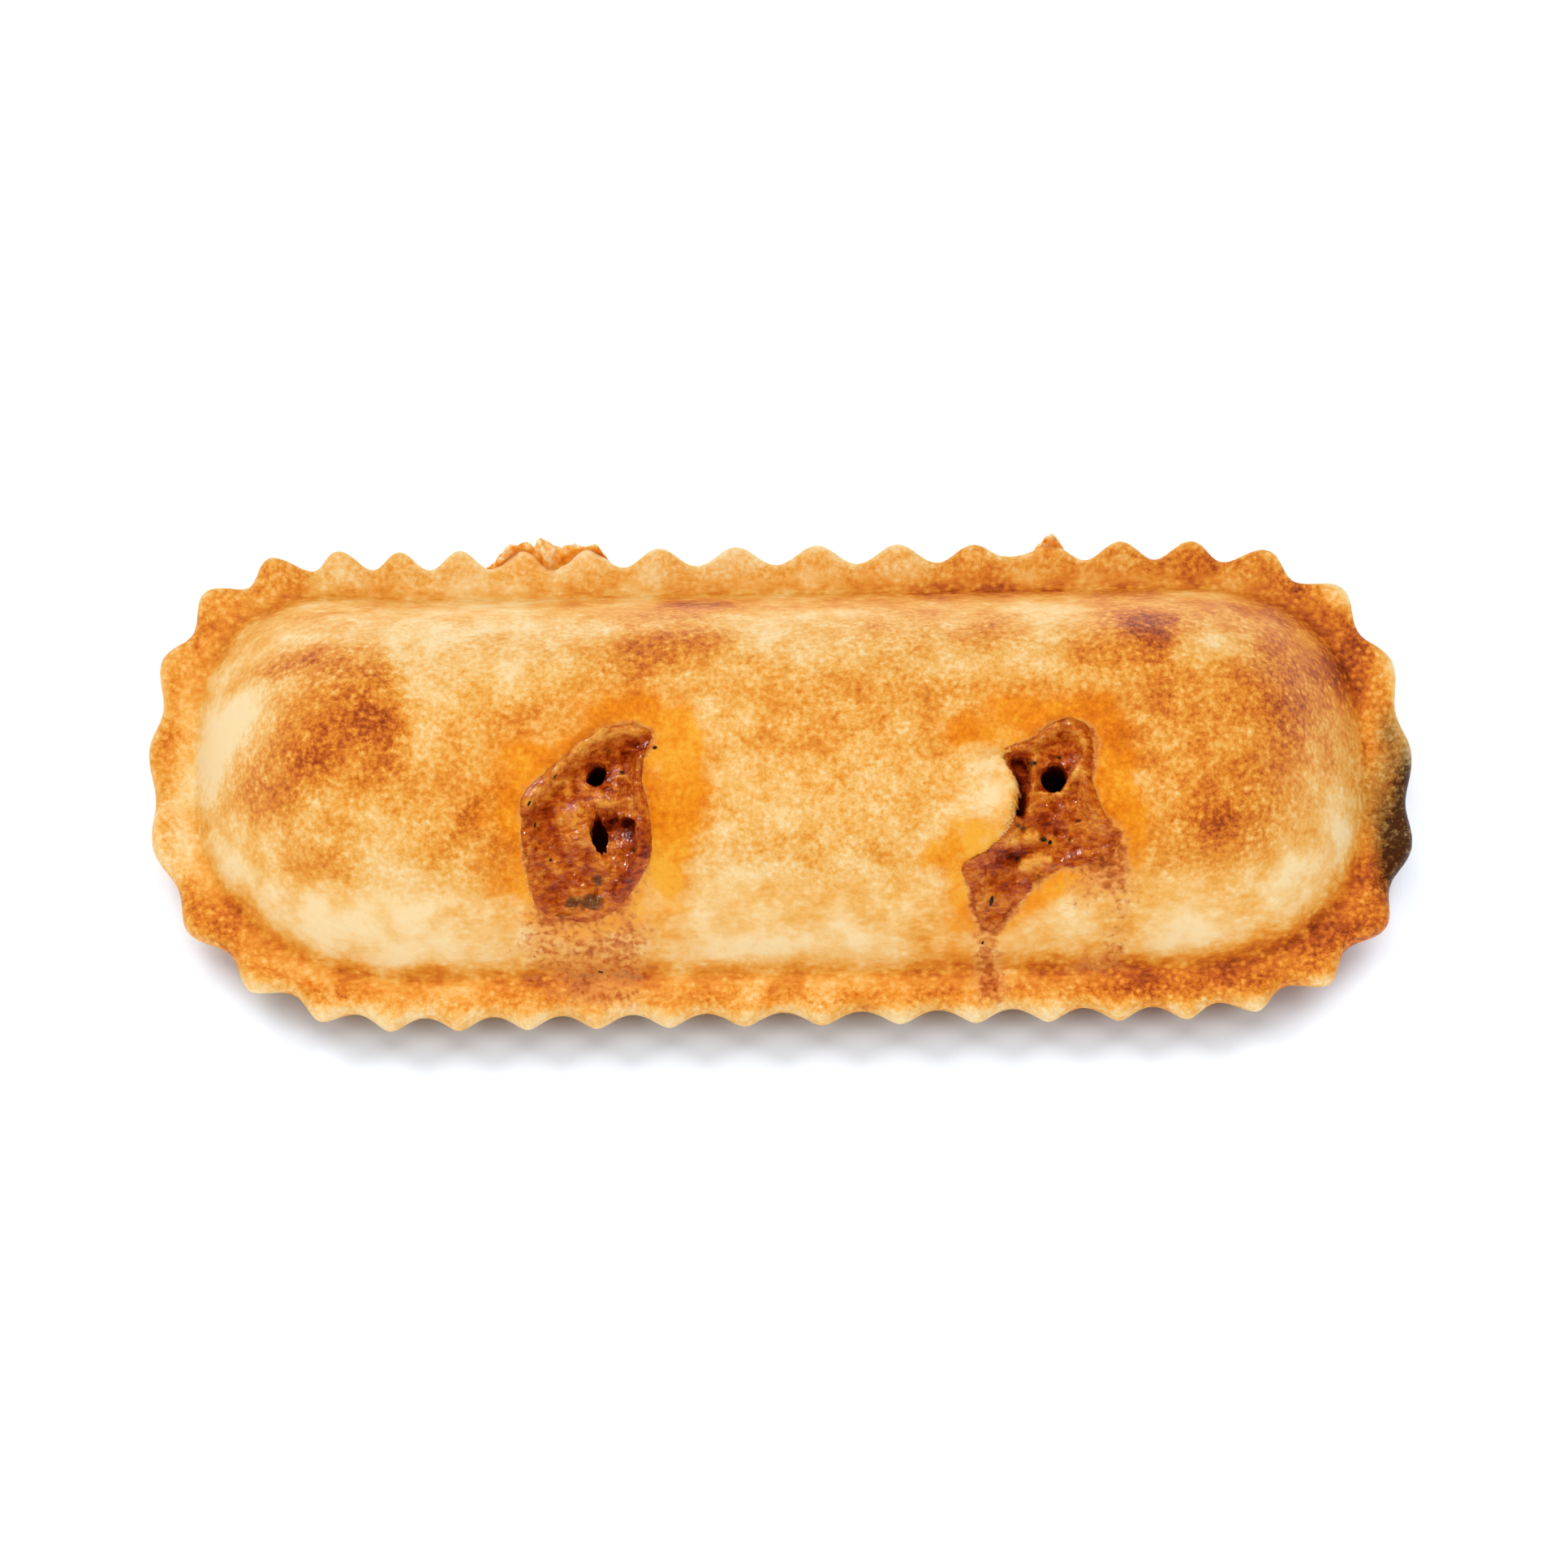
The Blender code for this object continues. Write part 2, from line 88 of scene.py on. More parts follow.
def linear(hex_colour: str) -> tuple[float, float, float, float]:
    """Turns an sRGB hex colour into the linear colour that shaders take.

    Args:
        hex_colour: Six hex digits, such as "f3a94f".

    Returns:
        Linear red, green and blue, and an alpha of 1.
    """
    parts = [int(hex_colour[i : i + 2], 16) / 255.0 for i in (0, 2, 4)]
    red, green, blue = (p / 12.92 if p <= 0.04045 else ((p + 0.055) / 1.055) ** 2.4 for p in parts)
    return red, green, blue, 1.0


def add_node(
    tree: bpy.types.NodeTree,
    kind: str,
    settings: dict[str, object],
    links: dict[str | int, bpy.types.NodeSocket | bpy.types.Node | object],
) -> bpy.types.Node:
    """Adds one shader node with its settings and its inputs.

    Args:
        tree: The material's node tree.
        kind: Blender's name for the node type.
        settings: Properties of the node, by name.
        links: For each input, by name or number, what feeds it: a socket, a node whose first
            output in use is meant, or a plain value.

    Returns:
        The new node.
    """
    node = tree.nodes.new(kind)
    for name, value in settings.items():
        setattr(node, name, value)
    for name, value in links.items():
        if isinstance(value, bpy.types.Node):
            value = next(output for output in value.outputs if output.enabled)
        if isinstance(value, bpy.types.NodeSocket):
            tree.links.new(value, node.inputs[name])
        else:
            node.inputs[name].default_value = value
    return node


def start_material(
    name: str,
) -> tuple[bpy.types.Material, bpy.types.NodeTree, bpy.types.Node, bpy.types.NodeSocket]:
    """Starts a material of the food.

    Args:
        name: What the real thing is.

    Returns:
        The material, its node tree, its Principled BSDF and the Object coordinates.
    """
    material = bpy.data.materials.new(name)
    material.use_nodes = True
    tree = material.node_tree
    place = add_node(tree, "ShaderNodeTexCoord", {}, {}).outputs["Object"]
    return material, tree, tree.nodes["Principled BSDF"], place


def set_inputs(shader: bpy.types.Node, values: dict[str, object]) -> None:
    """Sets the values that are the same all over a surface on the shader's own sockets."""
    for name, value in values.items():
        shader.inputs[name].default_value = value


def colour_ramp(ramp: bpy.types.Node, stops: Stops) -> None:
    """Sets the stops of a Color Ramp node.

    Args:
        ramp: The node.
        stops: Places from 0 to 1 with their sRGB colours, in order.
    """
    elements = ramp.color_ramp.elements
    for position, _ in stops[2:]:
        elements.new(position)
    for element, (position, colour) in zip(elements, stops):
        element.position, element.color = position, linear(colour)


def smooth_step(low: float, high: float, value: Array) -> Array:
    """Rises smoothly from 0 at low to 1 at high.

    Args:
        low: Where the rise starts.
        high: Where it ends; it may be below low for a fall.
        value: The values to grade.

    Returns:
        A grade between 0 and 1 for each value.
    """
    share = np.clip((value - low) / (high - low), 0.0, 1.0)
    return share * share * (3.0 - 2.0 * share)


def in_plan(x: Array, y: Array) -> Array:
    """Rows of x, y and a z of 0."""
    return np.stack((x, y, 0.0 * x), axis=1)


def flattened(points: Array) -> Array:
    """The points with a z of 0."""
    return points * np.array((1.0, 1.0, 0.0))


@dataclass(frozen=True)
class Lumps:
    """Natural unevenness: how strong it is, the size of one lump, and how many finer layers it has.

    The seed moves the pattern, so that two of them differ.
    """

    strength: float
    pitch: float
    octaves: int = 1
    seed: float = 0.0

    def at(self, points: Array) -> Array:
        """Samples the unevenness, of about plus or minus its strength.

        Args:
            points: One row of x, y and z for each point, in the unit of the pitch.

        Returns:
            One value for each point.
        """
        shift = Vector((self.seed, -self.seed, 0.5 * self.seed))
        places = [Vector(place) + shift for place in points / self.pitch]
        if self.octaves == 1:
            return self.strength * np.array([noise.noise(place) for place in places])
        layers = (1.0, 2.0, self.octaves)
        return self.strength * np.array([noise.fractal(place, *layers) for place in places])


@dataclass(frozen=True)
class Spot:
    """A soft-edged oval on the empanada, such as a browned patch.

    Sizes are in millimetres and strength is what the spot adds at its middle.
    """

    x: float
    y: float
    half_x: float
    half_y: float
    strength: float = 1.0
    turn: float = 0.0

    def at(self, x: Array, y: Array) -> Array:
        """The spot's strength over points in millimetres."""
        along = math.cos(math.radians(self.turn)), math.sin(math.radians(self.turn))
        dx, dy = x - self.x, y - self.y
        u = (dx * along[0] + dy * along[1]) / self.half_x
        v = (dy * along[0] - dx * along[1]) / self.half_y
        return self.strength * np.exp(-(u * u) - v * v)


@dataclass(frozen=True)
class Strand:
    """A soft-edged line through a few places, such as a ridge of sauce.

    Sizes are in millimetres and strength is what the line adds along its middle.
    """

    places: tuple[Pair, ...]
    half_width: float
    strength: float = 1.0

    def at(self, x: Array, y: Array) -> Array:
        """The line's strength over points in millimetres."""
        near = np.full(len(x), np.inf)
        for (ax, ay), (bx, by) in zip(self.places, self.places[1:]):
            dx, dy = bx - ax, by - ay
            share = np.clip(((x - ax) * dx + (y - ay) * dy) / (dx * dx + dy * dy), 0.0, 1.0)
            near = np.minimum(near, np.hypot(x - ax - share * dx, y - ay - share * dy))
        return self.strength * np.exp(-((near / self.half_width) ** 2))


Marks = tuple[Spot | Strand, ...]


def marks_at(marks: Marks, points: Array) -> Array:
    """Adds up spots and lines over points in metres.

    Args:
        marks: The spots and lines.
        points: One row of x, y and z for each point, in metres.

    Returns:
        The sum of their strengths at each point.
    """
    x, y = points[:, 0] / MM, points[:, 1] / MM
    return sum((mark.at(x, y) for mark in marks), np.zeros(len(points)))


@dataclass(frozen=True)
class Plan:
    """The fluted outline seen from above, measured as radii from the long axis."""

    spine_half: float = 50.0 * MM
    cap_radius: float = 34.5 * MM
    side_radius: float = 33.0 * MM
    end_radius: float = 34.5 * MM
    fullness_back: Pair = (3.9 * MM, 2.6 * MM)
    fullness_front: Pair = (0.2 * MM, 2.4 * MM)
    lift_back: Pair = (3.2 * MM, 1.0 * MM)
    lift_front: Pair = (0.0, 0.6 * MM)
    flutes: int = 41
    flute_start: float = -0.813
    flute_drift: tuple[tuple[int, float, float], ...] = (
        (1, 0.156, 0.117), (2, -0.233, 0.195), (3, 0.006, 0.095), (4, 0.066, 0.193),
    )
    depth_back: float = 1.25 * MM
    depth_front: float = 1.0 * MM
    depth_end: float = 0.5 * MM
    depth_corner: float = 0.45 * MM
    tip_softness: float = 0.35
    front_tips: float = 0.9
    missing_flute: float = 7.6
    missing_reach: float = 0.45
    missing_share: float = 0.6
    drift_rounds: int = 8

    def _corner(self, back: Pair, front: Pair, bearing: Array) -> Array:
        """A value held for each corner as (left, right), strongest at 45 degrees."""
        at_right = (np.sin(bearing) >= 0.0).astype(int)
        at_back = np.cos(bearing) >= 0.0
        value = np.where(at_back, np.array(back)[at_right], np.array(front)[at_right])
        return value * np.sin(2.0 * bearing) ** 2

    def mean_radius(self, bearing: Array) -> Array:
        """From the long axis to the mean line of the edge, at bearings from +Y."""
        side = self.side_radius * np.cos(bearing) ** 2
        end = self.end_radius * np.sin(bearing) ** 2
        return side + end + self._corner(self.fullness_back, self.fullness_front, bearing)

    def lift(self, bearing: Array) -> Array:
        """How far the rim curls up at the corners."""
        return self._corner(self.lift_back, self.lift_front, bearing)

    def polar(self, x: Array, y: Array) -> tuple[Array, Array]:
        """Distance from the long axis, and bearing from +Y, of points in plan."""
        nearest = np.clip(x, -self.spine_half, self.spine_half)
        return np.hypot(x - nearest, y), np.arctan2(x - nearest, y)

    def foot_and_bearing(self, turn: Array) -> tuple[Array, Array]:
        """Where rays to the edge leave the long axis, and their bearings.

        Args:
            turn: Shares of the way round, clockwise from the back left.

        Returns:
            The x of each foot, and each bearing from +Y.
        """
        straight, cap = 2.0 * self.spine_half, math.pi * self.cap_radius
        run = np.mod(turn, 1.0) * 2.0 * (straight + cap)
        right = np.clip(run - straight, 0.0, cap) / self.cap_radius
        left = np.clip(run - 2.0 * straight - cap, 0.0, cap) / self.cap_radius
        out = np.clip(run, 0.0, straight)
        home = np.clip(run - straight - cap, 0.0, straight)
        return out - home - self.spine_half, right + left

    def turn_at(self, x: Array, y: Array) -> Array:
        """The share of the way round of points in plan."""
        straight, cap = 2.0 * self.spine_half, math.pi * self.cap_radius
        bearing = np.mod(self.polar(x, y)[1], 2.0 * math.pi)
        run = np.where(y >= 0.0, x + self.spine_half, straight + cap + self.spine_half - x)
        run = np.where(x > self.spine_half, straight + bearing * self.cap_radius, run)
        left = 2.0 * straight + cap + (bearing - math.pi) * self.cap_radius
        return np.where(x < -self.spine_half, left, run) / (2.0 * (straight + cap))

    def _drift(self, turn: Array) -> Array:
        """How far the flutes have crept from even spacing."""
        angle = 2.0 * math.pi * turn
        return sum(c * np.cos(h * angle) + s * np.sin(h * angle) for h, c, s in self.flute_drift)

    def flute_at(self, turn: Array) -> Array:
        """The flute number, whole at crests, at shares of the way round."""
        return self.flutes * turn + self.flute_start + self._drift(turn)

    def turn_of(self, flute: Array) -> Array:
        """The share of the way round at which flute numbers are reached."""
        turn = (flute - self.flute_start) / self.flutes
        for _ in range(self.drift_rounds):
            turn = (flute - self.flute_start - self._drift(turn)) / self.flutes
        return turn

    def wave(self, flute: Array, bearing: Array) -> Array:
        """The cutter's wave: -1 in valleys and +1 on crests, which are narrow along the front."""
        valley, soft = np.abs(np.sin(math.pi * flute)), self.tip_softness
        narrow = (np.hypot(valley, soft) - soft) / (math.hypot(1.0, soft) - soft)
        front = self.front_tips * np.maximum(0.0, -np.cos(bearing)) ** 2
        share = valley**2 + front * (narrow - valley**2)
        off = (np.mod(flute, self.flutes) - self.missing_flute) / self.missing_reach
        return (1.0 - 2.0 * share) * (1.0 - self.missing_share * np.exp(-off * off))

    def depth(self, bearing: Array) -> Array:
        """Half the height of the wave round the edge."""
        across = np.cos(bearing)
        side = np.where(across > 0.0, self.depth_back, self.depth_front) * across**2
        end = self.depth_end * np.sin(bearing) ** 2
        return side + end + self.depth_corner * np.sin(2.0 * bearing) ** 2

    def edge(self, x: Array, y: Array) -> Array:
        """The radius of the fluted edge on the bearing of points in plan."""
        _, bearing = self.polar(x, y)
        wave = self.wave(self.flute_at(self.turn_at(x, y)), bearing)
        return self.mean_radius(bearing) + self.depth(bearing) * wave


@dataclass(frozen=True)
class Vent:
    """A place where the lid has burst.

    The outline runs clockwise from the back, in millimetres from the centre.
    """

    centre: Pair
    outline: tuple[Pair, ...]
    samples: int = 8
    look: float = 34.0 * MM

    def curve(self) -> Array:
        """The smooth closed outline in metres, by Catmull-Rom interpolation."""
        corners = np.array(self.outline) * MM
        before, end, after = (np.roll(corners, shift, 0) for shift in (1, -1, -2))
        steps = []
        for k in range(self.samples):
            u = k / self.samples
            bend = 2.0 * before - 5.0 * corners + 4.0 * end - after
            twist = 3.0 * (corners - end) + after - before
            steps.append(corners + 0.5 * u * ((end - before) + u * (bend + u * twist)))
        curve = np.stack(steps, axis=1).reshape(-1, 2)
        return curve + np.array(self.centre) * MM

    def outside(self, points: Array) -> Array:
        """Signed distance in plan from the outline: positive on the crust, negative in the vent.

        Args:
            points: One row of x, y and z for each point, in metres.

        Returns:
            One distance for each point, which far from the vent is only a large number.
        """
        curve = self.curve()
        result = np.full(len(points), 1.0)
        middle = np.array(self.centre) * MM
        near = np.flatnonzero(np.hypot(*(points[:, :2] - middle).T) < self.look)
        if not len(near):
            return result
        p = points[near, :2]
        start, step = curve, np.roll(curve, -1, 0) - curve
        rel = p[:, None, :] - start[None, :, :]
        share = np.clip((rel * step).sum(2) / (step * step).sum(1), 0.0, 1.0)
        gap = np.hypot(*np.moveaxis(rel - share[..., None] * step, 2, 0)).min(1)
        stop = start + step
        crosses = (start[:, 1] > p[:, 1:]) != (stop[:, 1] > p[:, 1:])
        rise = np.where(np.abs(step[:, 1]) < 1e-12, 1e-12, step[:, 1])
        where = start[:, 0] + (p[:, 1:] - start[:, 1]) / rise * step[:, 0]
        within = (crosses & (p[:, :1] < where)).sum(1) % 2 == 1
        result[near] = np.where(within, -gap, gap)
        return result


LEFT_VENT = Vent(
    centre=(-25.0, -11.5),
    outline=(
        (5.0, 11.7), (7.8, 10.5), (6.8, 8.2), (6.1, 5.0), (6.8, 1.2), (7.0, -3.4), (5.2, -6.7),
        (2.8, -8.7), (-1.0, -9.8), (-5.6, -9.5), (-7.5, -6.8), (-8.2, -2.0), (-7.9, 2.8),
        (-4.2, 6.2), (0.9, 10.5),
    ),
)
RIGHT_VENT = Vent(
    centre=(35.2, -12.0),
    outline=(
        (2.0, 12.2), (4.4, 11.2), (5.0, 7.8), (4.5, 4.2), (5.6, 0.6), (7.8, -2.4), (6.4, -4.2),
        (3.2, -4.5), (-0.4, -5.4), (-4.2, -8.4), (-6.8, -10.6), (-8.7, -10.4), (-10.2, -7.4),
        (-11.2, -5.0), (-8.4, -3.4), (-5.4, -0.4), (-4.6, 3.6), (-6.2, 7.6), (-2.8, 9.2),
        (0.2, 11.3),
    ),
)
VENTS = (LEFT_VENT, RIGHT_VENT)


@dataclass(frozen=True)
class Lid:
    """The domed, blistered upper surface of the crust inside the rim."""

    plan: Plan = field(default_factory=Plan)
    rim_width: float = 6.0 * MM
    rim_thickness: float = 3.2 * MM
    rim_underside: float = 2.6 * MM
    rise: float = 20.3 * MM
    power: float = 2.8
    ease: float = 1.15
    unevenness: Lumps = Lumps(0.5 * MM, 17.0 * MM)
    flat_edge: int = 6
    vent_sag: float = 1.1 * MM
    vent_sag_reach: float = 13.0
    blisters: tuple[Spot, ...] = (
        Spot(-64.0, 2.0, 13.0, 10.0, 2.6 * MM),
        Spot(-51.0, -3.0, 6.0, 13.0, -0.5 * MM),
        Spot(-61.0, -15.0, 6.0, 4.5, 0.7 * MM),
        Spot(-13.0, 15.5, 8.0, 5.0, 1.0 * MM),
        Spot(46.0, 13.5, 7.0, 5.0, 1.5 * MM),
        Spot(67.0, 5.0, 9.0, 8.0, 1.4 * MM),
        Spot(58.0, -14.0, 7.0, 5.0, 1.0 * MM),
        Spot(-81.0, -4.5, 2.6, 3.4, 0.9 * MM),
        Spot(27.6, -8.6, 3.0, 5.6, 1.5 * MM),
    )

    def rim_top(self, bearing: Array, share: Array | float = 1.0) -> Array:
        """Height of the rim's upper side at the lid's edge, and of the level the lid rises from."""
        return self.rim_underside + self.rim_thickness + self.plan.lift(bearing) * share**3

    def height(self, points: Array) -> Array:
        """Height of the lid over points in plan, without its small relief."""
        distance, bearing = self.plan.polar(points[:, 0], points[:, 1])
        share = np.minimum(1.0, distance / (self.plan.mean_radius(bearing) - self.rim_width))
        reach = self.vent_sag_reach
        sags = tuple(Spot(*vent.centre, reach, reach, -self.vent_sag) for vent in VENTS)
        waves = self.unevenness.at(flattened(points)) + marks_at(self.blisters + sags, points)
        dome = self.rise * (1.0 - share**self.power) ** self.ease
        return self.rim_top(bearing, share) + dome + waves * (1.0 - share**self.flat_edge)


def vertex_places(builder: bmesh.types.BMesh) -> Array:
    """The place of every vertex of a bmesh, one row each."""
    return np.array([vertex.co for vertex in builder.verts])


def moulded_sphere(segments: int, rings: int) -> tuple[bmesh.types.BMesh, Array, Array]:
    """Makes a UV sphere to be moulded ring by ring.

    Args:
        segments: How many vertices each ring has.
        rings: How many steps there are from the top pole to the bottom one.

    Returns:
        The bmesh, and for each vertex its ring and its clockwise segment.
    """
    builder = bmesh.new()
    bmesh.ops.create_uvsphere(builder, u_segments=segments, v_segments=rings, radius=1.0)
    places = vertex_places(builder)
    ring = np.rint(np.arccos(np.clip(places[:, 2], -1.0, 1.0)) / math.pi * rings).astype(int)
    around = -np.arctan2(places[:, 1], places[:, 0]) / (2.0 * math.pi) * segments
    return builder, ring, np.mod(np.rint(around).astype(int), segments)


def move_vertices(builder: bmesh.types.BMesh, points: Array) -> None:
    """Moves every vertex of a bmesh to its row of points."""
    for vertex, point in zip(builder.verts, points):
        vertex.co = point


def to_object(name: str, builder: bmesh.types.BMesh) -> bpy.types.Object:
    """Turns a closed bmesh into a smooth-shaded object whose faces point outwards.

    Args:
        name: The piece's name.
        builder: The bmesh, which is freed.

    Returns:
        The new object, linked to the scene.
    """
    bmesh.ops.recalc_face_normals(builder, faces=builder.faces)
    if builder.calc_volume(signed=True) < 0.0:
        bmesh.ops.reverse_faces(builder, faces=builder.faces)
    mesh = bpy.data.meshes.new(name)
    builder.to_mesh(mesh)
    builder.free()
    mesh.shade_smooth()
    obj = bpy.data.objects.new(name, mesh)
    bpy.context.scene.collection.objects.link(obj)
    return obj


def carve(target: bpy.types.Object, tool: bpy.types.Object, operation: Carve) -> None:
    """Applies a Boolean of one object on another and removes the tool.

    Args:
        target: The object that changes.
        tool: The object that cuts it or joins it.
        operation: Whether it cuts or joins.
    """
    modifier = target.modifiers.new("carve", "BOOLEAN")
    modifier.solver = "MANIFOLD"
    modifier.operation = operation.value
    modifier.object = tool
    graph = bpy.context.evaluated_depsgraph_get()
    mesh = bpy.data.meshes.new_from_object(target.evaluated_get(graph), depsgraph=graph)
    target.modifiers.remove(modifier)
    target.data = mesh
    bpy.data.objects.remove(tool)
    mesh.shade_smooth()


def mesh_points(obj: bpy.types.Object) -> Array:
    """The place of every vertex of an object's mesh, one row each."""
    points = np.empty(3 * len(obj.data.vertices))
    obj.data.vertices.foreach_get("co", points)
    return points.reshape(-1, 3)


def set_attribute(obj: bpy.types.Object, name: str, values: Array) -> None:
    """Stores one number for each vertex, which the piece's material reads by name."""
    attribute = obj.data.attributes.new(name, "FLOAT", "POINT")
    attribute.data.foreach_set("value", np.ascontiguousarray(values, dtype=np.float32))


def install(obj: bpy.types.Object, slot: Slot, finish: bpy.types.Material, *nodes: str) -> None:
    """Gives a piece its finish and its place in the frame.

    Args:
        obj: The piece.
        slot: The record's slot; it is not used.
        finish: Its material.
        nodes: The solids that it stands for.
    """
    obj.data.materials.clear()
    obj.data.materials.append(finish)
    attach(obj, "root")
    if nodes:
        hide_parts(*nodes)
    LOG.info("%s: %d vertices", obj.name, len(obj.data.vertices))


@dataclass(frozen=True)
class Room:
    """The space between the two sheets of dough, which the filling takes up."""

    lid: Lid = field(default_factory=Lid)
    lid_thickness: float = 2.7 * MM
    floor: float = 2.4 * MM
    inset: float = 6.4 * MM
    shoulder: float = 1.1 * MM
    foot: float = 4.6 * MM
    least_height: float = 1.2 * MM
    waist_height: float = 0.4
    segments: int = 96
    rings: tuple[float, ...] = (0.0, 0.18, 0.37, 0.54, 0.7, 0.84, 0.94, 1.0)

    def build(self, name: str, grow: float) -> bpy.types.Object:
        """Makes the room's shape.

        Args:
            name: The object's name.
            grow: How much larger it is than the filling's own core.

        Returns:
            A closed object.
        """
        top = len(self.rings) - 1
        builder, ring, segment = moulded_sphere(self.segments, 2 * top + 2)
        foot, bearing = self.lid.plan.foot_and_bearing(segment / self.segments)
        mean = self.lid.plan.mean_radius(bearing)
        under = ring > top + 1
        level = np.where(under, 2 * top + 2 - ring, ring)
        shrink = np.array(self.rings)[np.minimum(level, top)]
        radius = mean - self.inset - np.where(under, self.foot - grow, self.shoulder)
        waist = ring == top + 1
        radius = np.where(waist, mean - self.inset + grow, radius)
        shrink = np.where(waist, 1.0, shrink)
        x = (foot + radius * np.sin(bearing)) * shrink
        y = radius * np.cos(bearing) * shrink
        floor = self.floor - grow
        ceiling = self.lid.height(in_plan(x, y)) - self.lid_thickness + grow
        ceiling = np.maximum(ceiling, floor + 2.0 * grow + self.least_height)
        middle = self.waist_height * ceiling + (1.0 - self.waist_height) * floor
        z = np.where(under, floor, np.where(waist, middle, ceiling))
        move_vertices(builder, np.stack((x, y, z), axis=1))
        return to_object(name, builder)


@dataclass(frozen=True)
class BakedDough:
    """Lean wheat dough, rolled, pressed shut and baked until it browned in patches.

    It has a dull, floury skin that browns as fine grains rather than as an even coat, it lets a
    little light through, and it turns orange and half clear where oil from the filling soaked in.
    Pattern sizes are in millimetres, and a freckle is how far a pattern shifts the browning.
    """

    shades: Stops = (
        (0.0, "ffe0a8"), (0.15, "fbcd84"), (0.29, "f6b659"), (0.42, "ee9d38"), (0.56, "e08224"),
        (0.7, "c9641c"), (0.85, "a84916"), (1.0, "7c300c"),
    )
    oily: Stops = (
        (0.05, "fcae20"), (0.28, "f49000"), (0.5, "e27600"), (0.85, "b04e00"),
    )
    dried_sauce: Stops = (
        (0.0, "f8bc74"), (0.25, "e8994a"), (0.5, "cc6c26"), (0.75, "a44412"), (1.0, "7c2a0a"),
    )
    charred: str = "3a1400"
    grain: float = 0.75
    drawn_out: float = 2.8
    granule: float = 1.1
    mottle: float = 4.5
    soak_edge: float = 2.4
    fibre: float = 0.9
    pale_freckle: float = 0.55
    brown_freckle: float = 1.5
    steep_freckle: float = -0.4
    patch_freckle: float = 0.8
    soak_wobble: float = 0.9
    fray: float = 1.8
    scorch_streak: float = 2.0
    roughness: float = 0.5
    oil_gloss: float = 0.12
    sauce_gloss: float = 0.24
    relief: float = 0.3

    def material(self) -> bpy.types.Material:
        """Makes the crust's material from the attributes that Crust stores."""
        material, tree, shader, place = start_material("baked_wheat_dough")
        bake_and_shading, soak, film, char, steep = (
            add_node(tree, "ShaderNodeAttribute", {"attribute_name": name}, {}).outputs["Fac"]
            for name in ("bake_and_shading", "soak", "film", "char", "steep")
        )
        # The steep sides were stretched along the empanada, so their grain is drawn out along X.
        grain = {"Scale": 1.0 / (self.grain * MM), "Detail": 6.0, "Roughness": 0.7}
        stretch = {"Vector": place, "Scale": (1.0 / self.drawn_out, 1.0, 0.7)}
        drawn = add_node(tree, "ShaderNodeMapping", {}, stretch)
        even = add_node(tree, "ShaderNodeTexNoise", {}, {"Vector": place, **grain})
        streaked = add_node(tree, "ShaderNodeTexNoise", {}, {"Vector": drawn, **grain})
        texture = add_node(tree, "ShaderNodeMix", {}, {0: steep, 2: even, 3: streaked})
        centred = add_node(tree, "ShaderNodeMath", {"operation": "SUBTRACT"}, {0: texture, 1: 0.5})
        # Browned skin is far more freckled than pale skin.
        add = {"operation": "MULTIPLY_ADD"}
        browned = {0: bake_and_shading, 1: self.brown_freckle, 2: self.pale_freckle}
        swing = add_node(tree, "ShaderNodeMath", add, browned)
        swing = add_node(tree, "ShaderNodeMath", add, {0: steep, 1: self.steep_freckle, 2: swing})
        grained = add_node(tree, "ShaderNodeMath", add, {0: centred, 1: swing, 2: bake_and_shading})
        mottle = {"Scale": 1.0 / (self.mottle * MM), "Detail": 4.0, "Roughness": 0.6}
        patches = add_node(tree, "ShaderNodeTexNoise", {}, {"Vector": place, **mottle})
        spread = {0: patches, 1: self.patch_freckle, 2: -0.5 * self.patch_freckle}
        patchy = add_node(tree, "ShaderNodeMath", add, spread)
        shade = add_node(tree, "ShaderNodeMath", {}, {0: grained, 1: patchy})
        # Raised granules of dough stay lighter than the brown skin between them.
        cells = {"Vector": place, "Scale": 1.0 / (self.granule * MM), "Smoothness": 0.4}
        granules = add_node(tree, "ShaderNodeTexVoronoi", {"feature": "SMOOTH_F1"}, cells)
        span = {"From Min": 0.12, "From Max": 0.5, "To Min": -0.26, "To Max": 0.05}
        light = add_node(tree, "ShaderNodeMapRange", {}, {"Value": granules, **span})
        shade = add_node(tree, "ShaderNodeMath", add, {0: light, 1: bake_and_shading, 2: shade})
        crust = add_node(tree, "ShaderNodeValToRGB", {}, {"Fac": shade})
        colour_ramp(crust, self.shades)

        edge = {"Vector": place, "Scale": 1.0 / (self.soak_edge * MM), "Detail": 4.0}
        ragged = add_node(tree, "ShaderNodeTexNoise", {}, edge)
        spread = {0: ragged, 1: self.soak_wobble, 2: -0.5 * self.soak_wobble}
        wobble = add_node(tree, "ShaderNodeMath", add, spread)
        reached = add_node(tree, "ShaderNodeMath", {}, {0: soak, 1: wobble})
        span = {"Value": reached, "From Min": 0.1, "From Max": 0.75, "To Max": 0.94}
        oiled = add_node(tree, "ShaderNodeMapRange", {"interpolation_type": "SMOOTHSTEP"}, span)
        orange = add_node(tree, "ShaderNodeValToRGB", {}, {"Fac": shade})
        colour_ramp(orange, self.oily)
        rgba = {"data_type": "RGBA"}
        colour = add_node(tree, "ShaderNodeMix", rgba, {0: oiled, 6: crust, 7: orange})

